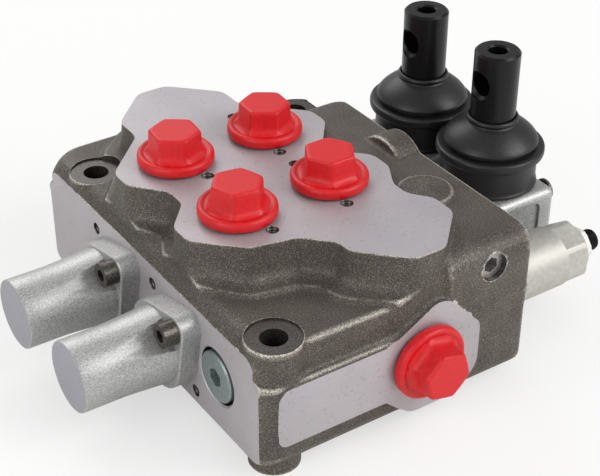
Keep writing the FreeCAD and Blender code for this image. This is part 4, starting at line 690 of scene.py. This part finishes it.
def plug_points(turn):
    """Circle plus share times what the hexagon adds: one over the cosine to a flat, eased at the corners."""
    height, circle, share = PLUG_LEVELS.T
    angle = angles(PLUG_STEPS)
    corner = 1 / np.cos(folded(angle, math.radians(turn), 6))
    soft = 1.0 / (corner ** -CORNER_POWER + CORNER_REACH ** -CORNER_POWER) ** (1 / CORNER_POWER)
    return turned(height, circle[:, None] * (1 + share[:, None] * (soft[None, :] - 1)), angle, "Z")


PLUGS = (
    ("port_plug_a1", (-PORT_X, SPOOLS["1"], TOP), "Z", 20.0),
    ("port_plug_b1", (PORT_X, SPOOLS["1"], TOP), "Z", 30.0),
    ("port_plug_a2", (-PORT_X, SPOOLS["2"], TOP), "Z", -6.0),
    ("port_plug_b2", (PORT_X, SPOOLS["2"], TOP), "Z", -4.0),
    ("inlet_port_plug", (INLET_X, NEAR, GALLERY_HEIGHT), "-Y", 15.0),
    ("outlet_port_plug", (OUTLET_X, FAR, GALLERY_HEIGHT), "Y", 8.0),
)
for node_name, centre, axis, turn in PLUGS:
    points = plug_points(turn)
    if axis == "-Y":
        points = np.column_stack([points[:, 0], -points[:, 2], points[:, 1]])
    if axis == "Y":
        points = np.column_stack([points[:, 0], points[:, 2], -points[:, 1]])
    plug = new_piece(f"moulded_{node_name}", points + np.array(centre),
                     grid_faces(len(PLUG_LEVELS), PLUG_STEPS), FINISHES["red_plastic"], 60.0)
    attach(plug, "housing")
    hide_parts(node_name)
print("plugs", len(PLUGS))

# %% [markdown]
# ## Spring caps
# A cap is die cast aluminium, blasted so that it sparkles a little. Its barrel widens towards the flange,
# and a round pocket on each side makes room for the screw's head and leaves two crisp ridges beside it.
# Both follow from one formula for the radius. The spring's chamber is left open inside, because the spring
# moves there. The end is faced in a lathe and looks smoother than the rest.

# %% Caps with screw pockets
POCKET, CHAMBER, FLARE = 6.8, 9.6, 4.2
CAP_STEPS = 288
CAP_END = -81.8
NO_CUT = 99.0  # a radius so large that no pocket or flat is cut there
# Rows of (place along the cap, barrel's radius, share of the flare).
CAP_ROWS = np.array([
    (-44.0, CHAMBER, 0.0), (-44.0, 12.3, 1.0), (-50.6, 12.3, 1.0), (-52.5, 12.3, 0.86), (-56.0, 12.3, 0.62),
    (-60.0, 12.3, 0.36), (-64.0, 12.3, 0.13), (-67.0, 12.3, 0.0), (-74.0, 12.3, 0.0), (-81.2, 12.3, 0.0),
    (-81.65, 12.2, 0.0), (CAP_END, 11.95, 0.0), (CAP_END, 6.0, 0.0), (CAP_END, 0.0, 0.0),
])
# Aluminium faced in a lathe: duller and a little bluer than the blasted skin.
FACED = grained("faced_aluminium", "#9a99a1", "#a9a8b0", 0.6, 0.5, 0.55, 0.01)


def cap_barrel():
    """Radius: barrel plus flare times the row's share, but never outside the circle of the screw's pocket."""
    along, radius, share = CAP_ROWS.T
    angle = angles(CAP_STEPS)
    fold = folded(angle, math.atan2(SCREW_UP, -SCREW_SIDE), 2)
    distance = math.hypot(SCREW_SIDE, SCREW_UP)
    inside = POCKET ** 2 - (distance * np.sin(fold)) ** 2
    pocket = np.where(inside > 0, distance * np.cos(fold) - np.sqrt(np.maximum(inside, 0.0)), NO_CUT)
    flare = FLARE * share[:, None] * (0.25 + 0.75 * np.cos(fold) ** 2)
    reach = np.maximum(np.minimum(radius[:, None] + flare, pocket), radius[:, None])
    return turned(along, reach, angle), grid_faces(len(along), CAP_STEPS).tolist()


def cap_chamber():
    """The spring's chamber, from the barrel's foot to its end wall."""
    along, radius = np.array([(-44.0, CHAMBER), (-78.8, CHAMBER), (-78.8, 0.0)]).T
    return turned(along, radius, angles(CAP_STEPS)), grid_faces(len(along), CAP_STEPS).tolist()


def cap_flange():
    """The slanted square with two small and two large rounds, a chamfer in front and the chamber's hole."""
    wide, narrow = 1.505, 0.9693
    corners = [(SCREW_SIDE * wide, -SCREW_UP * wide), (SCREW_UP * narrow, SCREW_SIDE * narrow),
               (-SCREW_SIDE * wide, SCREW_UP * wide), (-SCREW_UP * narrow, -SCREW_SIDE * narrow)]
    outline = rounded(corners, (5.2, 15.5, 5.2, 15.5), 4.0)
    angle = np.arctan2(outline[:, 1], outline[:, 0])
    hole = np.column_stack([np.cos(angle), np.sin(angle)]) * (CHAMBER + 0.1)
    levels = ((FRONT, outline), (-50.1, outline), (-50.45, outline * 0.99), (-50.6, outline * 0.97),
              (-50.6, hole), (FRONT, hole))
    points = np.concatenate([np.column_stack([np.full(len(ring), along), ring]) for along, ring in levels])
    return points, grid_faces(len(levels), len(outline), wrap_rows=True).tolist()


for number, y in SPOOLS.items():
    points, faces = join([cap_barrel(), cap_chamber(), cap_flange()])
    cap = new_piece(f"die_cast_cap_{number}", points + np.array([0.0, y, AXIS_HEIGHT]), faces,
                    FINISHES["die_cast_aluminium"], 22.0)
    cap.data.materials.append(FACED)
    centres = np.zeros(len(cap.data.polygons) * 3)
    cap.data.polygons.foreach_get("center", centres)
    at_end = centres.reshape(-1, 3)[:, 0] < to_frame([CAP_END + 0.01, 0.0, 0.0])[0]
    cap.data.polygons.foreach_set("material_index", at_end.astype(np.int32))
    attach(cap, "housing")
    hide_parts(f"spring_cap_{number}")
print("caps", len(SPOOLS), "with", len(cap.data.polygons), "faces each")

# %% [markdown]
# ## Relief valve
# The relief valve is turned from bar, and six flats are milled into its end for a spanner, so the round
# shows between them. A thin nut locks the black adjusting screw. Each is a turned profile whose radius is
# cut off where a flat is nearer to the axis. A zinc plated part is warm grey, with soft broad highlights.

# %% Relief valve, nut and adjusting screw
PLATED = grained("warm_zinc_plate", "#b4b2ab", "#c4c2bb", 1.8, 0.5, 0.5, 0.003)


def faceted(name, rows, turn, material, closed, steps=240):
    """Turned along X: the smaller of the radius and the flat's distance over the cosine to its middle."""
    along, radius, flat = np.asarray(rows, float).T
    angle = angles(steps)
    reach = np.minimum(radius[:, None], flat[:, None] / np.cos(folded(angle, math.radians(turn), 6)))
    points = turned(along, reach, angle) + np.array([0.0, RELIEF_Y, GALLERY_HEIGHT])
    return new_piece(name, points, grid_faces(len(along), steps, wrap_rows=closed), material, 25.0)


# Rows of (place along the axis, radius, distance of the flats).
CARTRIDGE_ROWS = [
    (36.5, 6.0, NO_CUT), (36.5, 9.95, NO_CUT), (61.0, 9.95, NO_CUT), (61.0, 10.7, NO_CUT),
    (61.4, 11.1, NO_CUT), (76.0, 11.1, NO_CUT), (90.0, 11.1, NO_CUT), (90.0, 11.1, 10.05),
    (98.8, 11.1, 10.05), (100.6, 9.2, 10.05), (100.6, 4.05, NO_CUT), (95.0, 4.05, NO_CUT),
    (95.0, 6.0, NO_CUT),
]
NUT_ROWS = [
    (100.6, 4.05, NO_CUT), (100.6, 6.5, 6.3), (101.0, 7.3, 6.3), (104.2, 7.3, 6.3), (104.6, 6.6, 6.3),
    (104.6, 4.05, NO_CUT),
]
turns = np.arange(104.8, 110.4, 0.5)
ridges = np.where(np.arange(len(turns)) % 2 == 0, 3.98, 3.5)
SCREW_ROWS = [(89.0, 0.0, NO_CUT), (89.0, 3.9, NO_CUT), (104.6, 3.9, NO_CUT)]
SCREW_ROWS += [(place, ridge, NO_CUT) for place, ridge in zip(turns.tolist(), ridges.tolist())]
SCREW_ROWS += [(110.6, 3.7, NO_CUT), (111.0, 3.2, NO_CUT), (111.0, 2.3, 2.0), (107.4, 2.3, 2.0),
               (107.2, 0.0, NO_CUT)]
RELIEF_PIECES = (
    ("relief_cartridge", CARTRIDGE_ROWS, 53.5, PLATED, "housing", "zinc_plated_steel", True),
    ("relief_lock_ring", NUT_ROWS, 20.0, FINISHES["white_plastic"], "housing", "white_plastic", True),
    ("relief_adjuster", SCREW_ROWS, 10.0, FINISHES["blackened_steel"], "relief_screw", "oxide_steel", False),
)
for node_name, rows, turn, finish, body, slot_name, closed in RELIEF_PIECES:
    item = faceted(f"turned_{node_name}", rows, turn, finish, closed)
    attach(item, body)
    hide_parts(node_name)
print("relief valve pieces", len(RELIEF_PIECES))

# %% [markdown]
# ## Screws of the lever boxes
# The photograph shows no head behind the lever boxes, so their screws have low heads that stay behind the
# box. All four are one piece, because they are one kind of screw: the profile is turned once and moved to
# its four places.

# %% Low headed screws
LOW_HEAD = np.array([
    (52.0, 0.0), (52.0, 2.4), (104.5, 2.4), (104.5, 4.2), (105.4, 4.2), (105.8, 3.8), (105.8, 2.2),
    (104.9, 2.0), (104.9, 0.0),
])


def screw_shell(y, z, steps=48):
    """Turned along X: each profile point (along, radius) runs once round the screw's axis."""
    along, radius = LOW_HEAD.T
    points = turned(along, radius, angles(steps)) + np.array([0.0, y, z])
    return points, grid_faces(len(along), steps).tolist()


places = [(y - side * SCREW_SIDE, AXIS_HEIGHT + side * SCREW_UP) for y in SPOOLS.values() for side in (-1, 1)]
shells = join([screw_shell(y, z) for y, z in places])
screws = new_piece("low_headed_screws", *shells, FINISHES["oxide_steel"], 30.0)
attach(screws, "housing")
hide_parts("lever_box_screws")
print("low headed screws", len(places))

# %% [markdown]
# ## Rubber boots
# A boot keeps dirt out of the lever's pivot. It is moulded rubber: a skirt on the neck, a bead, a groove, a
# dome and a tight collar on the lever. When the lever tilts, the foot stays and the collar goes with it; here
# each boot is one fixed mesh.

# %% Boots from a turned profile


def smooth_line(points, count):
    """Points spread evenly by length along a line whose corners are cut off three times."""
    line = np.asarray(points, float)
    for _ in range(3):
        start, end = line[:-1], line[1:]
        cut = np.stack([start * 0.75 + end * 0.25, start * 0.25 + end * 0.75], axis=1).reshape(-1, 2)
        line = np.concatenate([line[:1], cut, line[-1:]])
    length = np.concatenate([[0], np.cumsum(np.linalg.norm(np.diff(line, axis=0), axis=1))])
    spots = np.linspace(0, length[-1], count)
    return np.column_stack([np.interp(spots, length, line[:, axis]) for axis in (0, 1)])


BOOT_STEPS = 64
# Both profiles are rows of (radius, height): the skin from its foot up, then the inside from its top down.
BOOT_SKIN = [
    (14.6, 42.1), (17.6, 42.1), (17.75, 42.5), (17.7, 43.1), (17.25, 43.4), (17.2, 44.0), (17.2, 50.0),
    (17.2, 52.6), (17.6, 53.2), (18.9, 53.3), (19.55, 54.2), (19.6, 55.2), (19.6, 56.2), (19.2, 56.9),
    (18.2, 57.1), (16.2, 57.2), (15.7, 57.5), (15.8, 57.9), (16.6, 58.3), (17.1, 58.6), (17.1, 59.0),
    (16.8, 59.7), (15.6, 61.3), (13.2, 63.4), (10.6, 65.1), (9.2, 65.8), (8.9, 66.1), (9.2, 66.5),
    (9.45, 67.0), (9.4, 67.6), (9.0, 68.1), (8.5, 68.2), (8.2, 67.6),
]
BOOT_INSIDE = [
    (8.2, 64.6), (9.6, 63.8), (12.6, 62.2), (14.6, 60.2), (15.2, 58.2), (15.6, 55.0), (15.6, 52.0),
    (14.6, 50.5), (14.6, 42.2),
]
for number, y in SPOOLS.items():
    radius, height = np.concatenate([smooth_line(BOOT_SKIN, 110), smooth_line(BOOT_INSIDE, 24)]).T
    points = turned(height, radius, angles(BOOT_STEPS), "Z") + np.array([LEVER_X, y, 0.0])
    boot = new_piece(f"rubber_boot_{number}", points, grid_faces(len(height), BOOT_STEPS, wrap_rows=True),
                     FINISHES["black_rubber"])
    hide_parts(f"boot_{number}")
    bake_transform(boot)
print("boots", len(SPOOLS), "with", len(height), "points in the profile")

# %% [markdown]
# ## Camera, light and floor
# The camera was worked out from the photograph: the same angles, distance and lens put each corner of the
# block where the photograph has it. A little shift makes up for the crop.

# %% Camera
AROUND, ABOVE, ROLL = math.radians(-34.21), math.radians(33.39), math.radians(0.42)
TARGET = to_frame([20.71, -0.82, 29.55])
DISTANCE = 0.51566
FOCAL_PIXELS, IMAGE_WIDTH = 1444.2, 600.0
SHIFT_RIGHT_PIXELS, SHIFT_UP_PIXELS = -3.39, -1.23

back = np.array([math.sin(AROUND) * math.cos(ABOVE), -math.cos(AROUND) * math.cos(ABOVE), math.sin(ABOVE)])
right = np.array([math.cos(AROUND), math.sin(AROUND), 0.0])
up = np.cross(back, right)
right_rolled = math.cos(ROLL) * right + math.sin(ROLL) * up
up_rolled = -math.sin(ROLL) * right + math.cos(ROLL) * up
lens = bpy.data.cameras.new("camera")
lens.sensor_width = 36.0
lens.lens = 36.0 * FOCAL_PIXELS / IMAGE_WIDTH
lens.shift_x = SHIFT_RIGHT_PIXELS / IMAGE_WIDTH
lens.shift_y = SHIFT_UP_PIXELS / IMAGE_WIDTH
lens.clip_start = 0.01
camera = bpy.data.objects.new("camera", lens)
bpy.context.scene.collection.objects.link(camera)
spot = TARGET + back * DISTANCE
columns = np.column_stack([right_rolled, up_rolled, back, spot])
camera.matrix_world = Matrix(np.vstack([columns, [0, 0, 0, 1]]).tolist())
bpy.context.scene.camera = camera
print("lens", round(lens.lens, 2), "mm at", round(DISTANCE, 3), "m")

# %% [markdown]
# The photograph was taken under big soft lamps on white. Three broad area lamps do the same: one high on
# the right, one on the left and one behind. The floor and the world are white to the camera and stay dimmer
# for the light they throw, so metal still shows a pale room.

# %% Light and floor


def area_lamp(name, place, aim, size, power):
    data = bpy.data.lights.new(name, "AREA")
    data.shape = "DISK"
    data.size = size
    data.energy = power
    lamp = bpy.data.objects.new(name, data)
    lamp.location = place
    lamp.rotation_euler = (Vector(aim) - Vector(place)).to_track_quat("-Z", "Y").to_euler()
    bpy.context.scene.collection.objects.link(lamp)


CENTRE = tuple(to_frame([20.0, 0.0, 30.0]))
LAMPS = (  # place and size in metres, power in watts
    ("key_lamp", (0.55, -0.72, 0.62), 0.7, 6.0),
    ("side_lamp", (-0.75, -0.25, 0.45), 0.6, 2.6),
    ("back_lamp", (0.1, 0.8, 0.7), 0.7, 3.6),
)
for name, place, size, power in LAMPS:
    area_lamp(name, place, CENTRE, size, power)

DIM_ROOM = 0.5
world = bpy.data.worlds.new("pale_room")
world.use_nodes = True
world.node_tree.nodes.clear()
ray = add_node(world, "LightPath")
seen = add_node(world, "Math", {"operation": "MAXIMUM"}, _0=(ray, "Is Camera Ray"),
                _1=(ray, "Is Transmission Ray"))
level = add_node(world, "MapRange", Value=(seen, "Value"), _3=DIM_ROOM, _4=1.0)
sky = add_node(world, "Background", Color=colour("#ffffff"), Strength=(level, "Result"))
add_node(world, "OutputWorld", Surface=(sky, "Background"))
bpy.context.scene.world = world

# Paper: matt and white. A share of it shines to the camera alone, which keeps the shadow soft and pale.
LIT_SHARE = 0.6
FLOOR_REACH = 3000.0
floor_finish, floor_shader = new_material("white_paper")
floor_shader.inputs["Base Color"].default_value = colour("#f4f4f2")
floor_shader.inputs["Roughness"].default_value = 0.9
lit = add_node(floor_finish, "Emission", Color=colour("#ffffff"), Strength=1.0)
path = add_node(floor_finish, "LightPath")
part = add_node(floor_finish, "Math", {"operation": "MULTIPLY"}, _0=(path, "Is Camera Ray"), _1=LIT_SHARE)
paper = add_node(floor_finish, "MixShader", Fac=(part, "Value"), _1=(floor_shader, "BSDF"),
                 _2=(lit, "Emission"))
paper_out = next(node for node in floor_finish.node_tree.nodes if node.type == "OUTPUT_MATERIAL")
link(floor_finish, paper, "Shader", paper_out, "Surface")
corners = FLOOR_REACH * np.array([(-1, -1, 0), (1, -1, 0), (1, 1, 0), (-1, 1, 0)])
floor = new_piece("floor", corners, [[0, 1, 2, 3]], floor_finish)
bpy.context.scene.view_settings.view_transform = "Standard"
print("lamps and floor are ready")
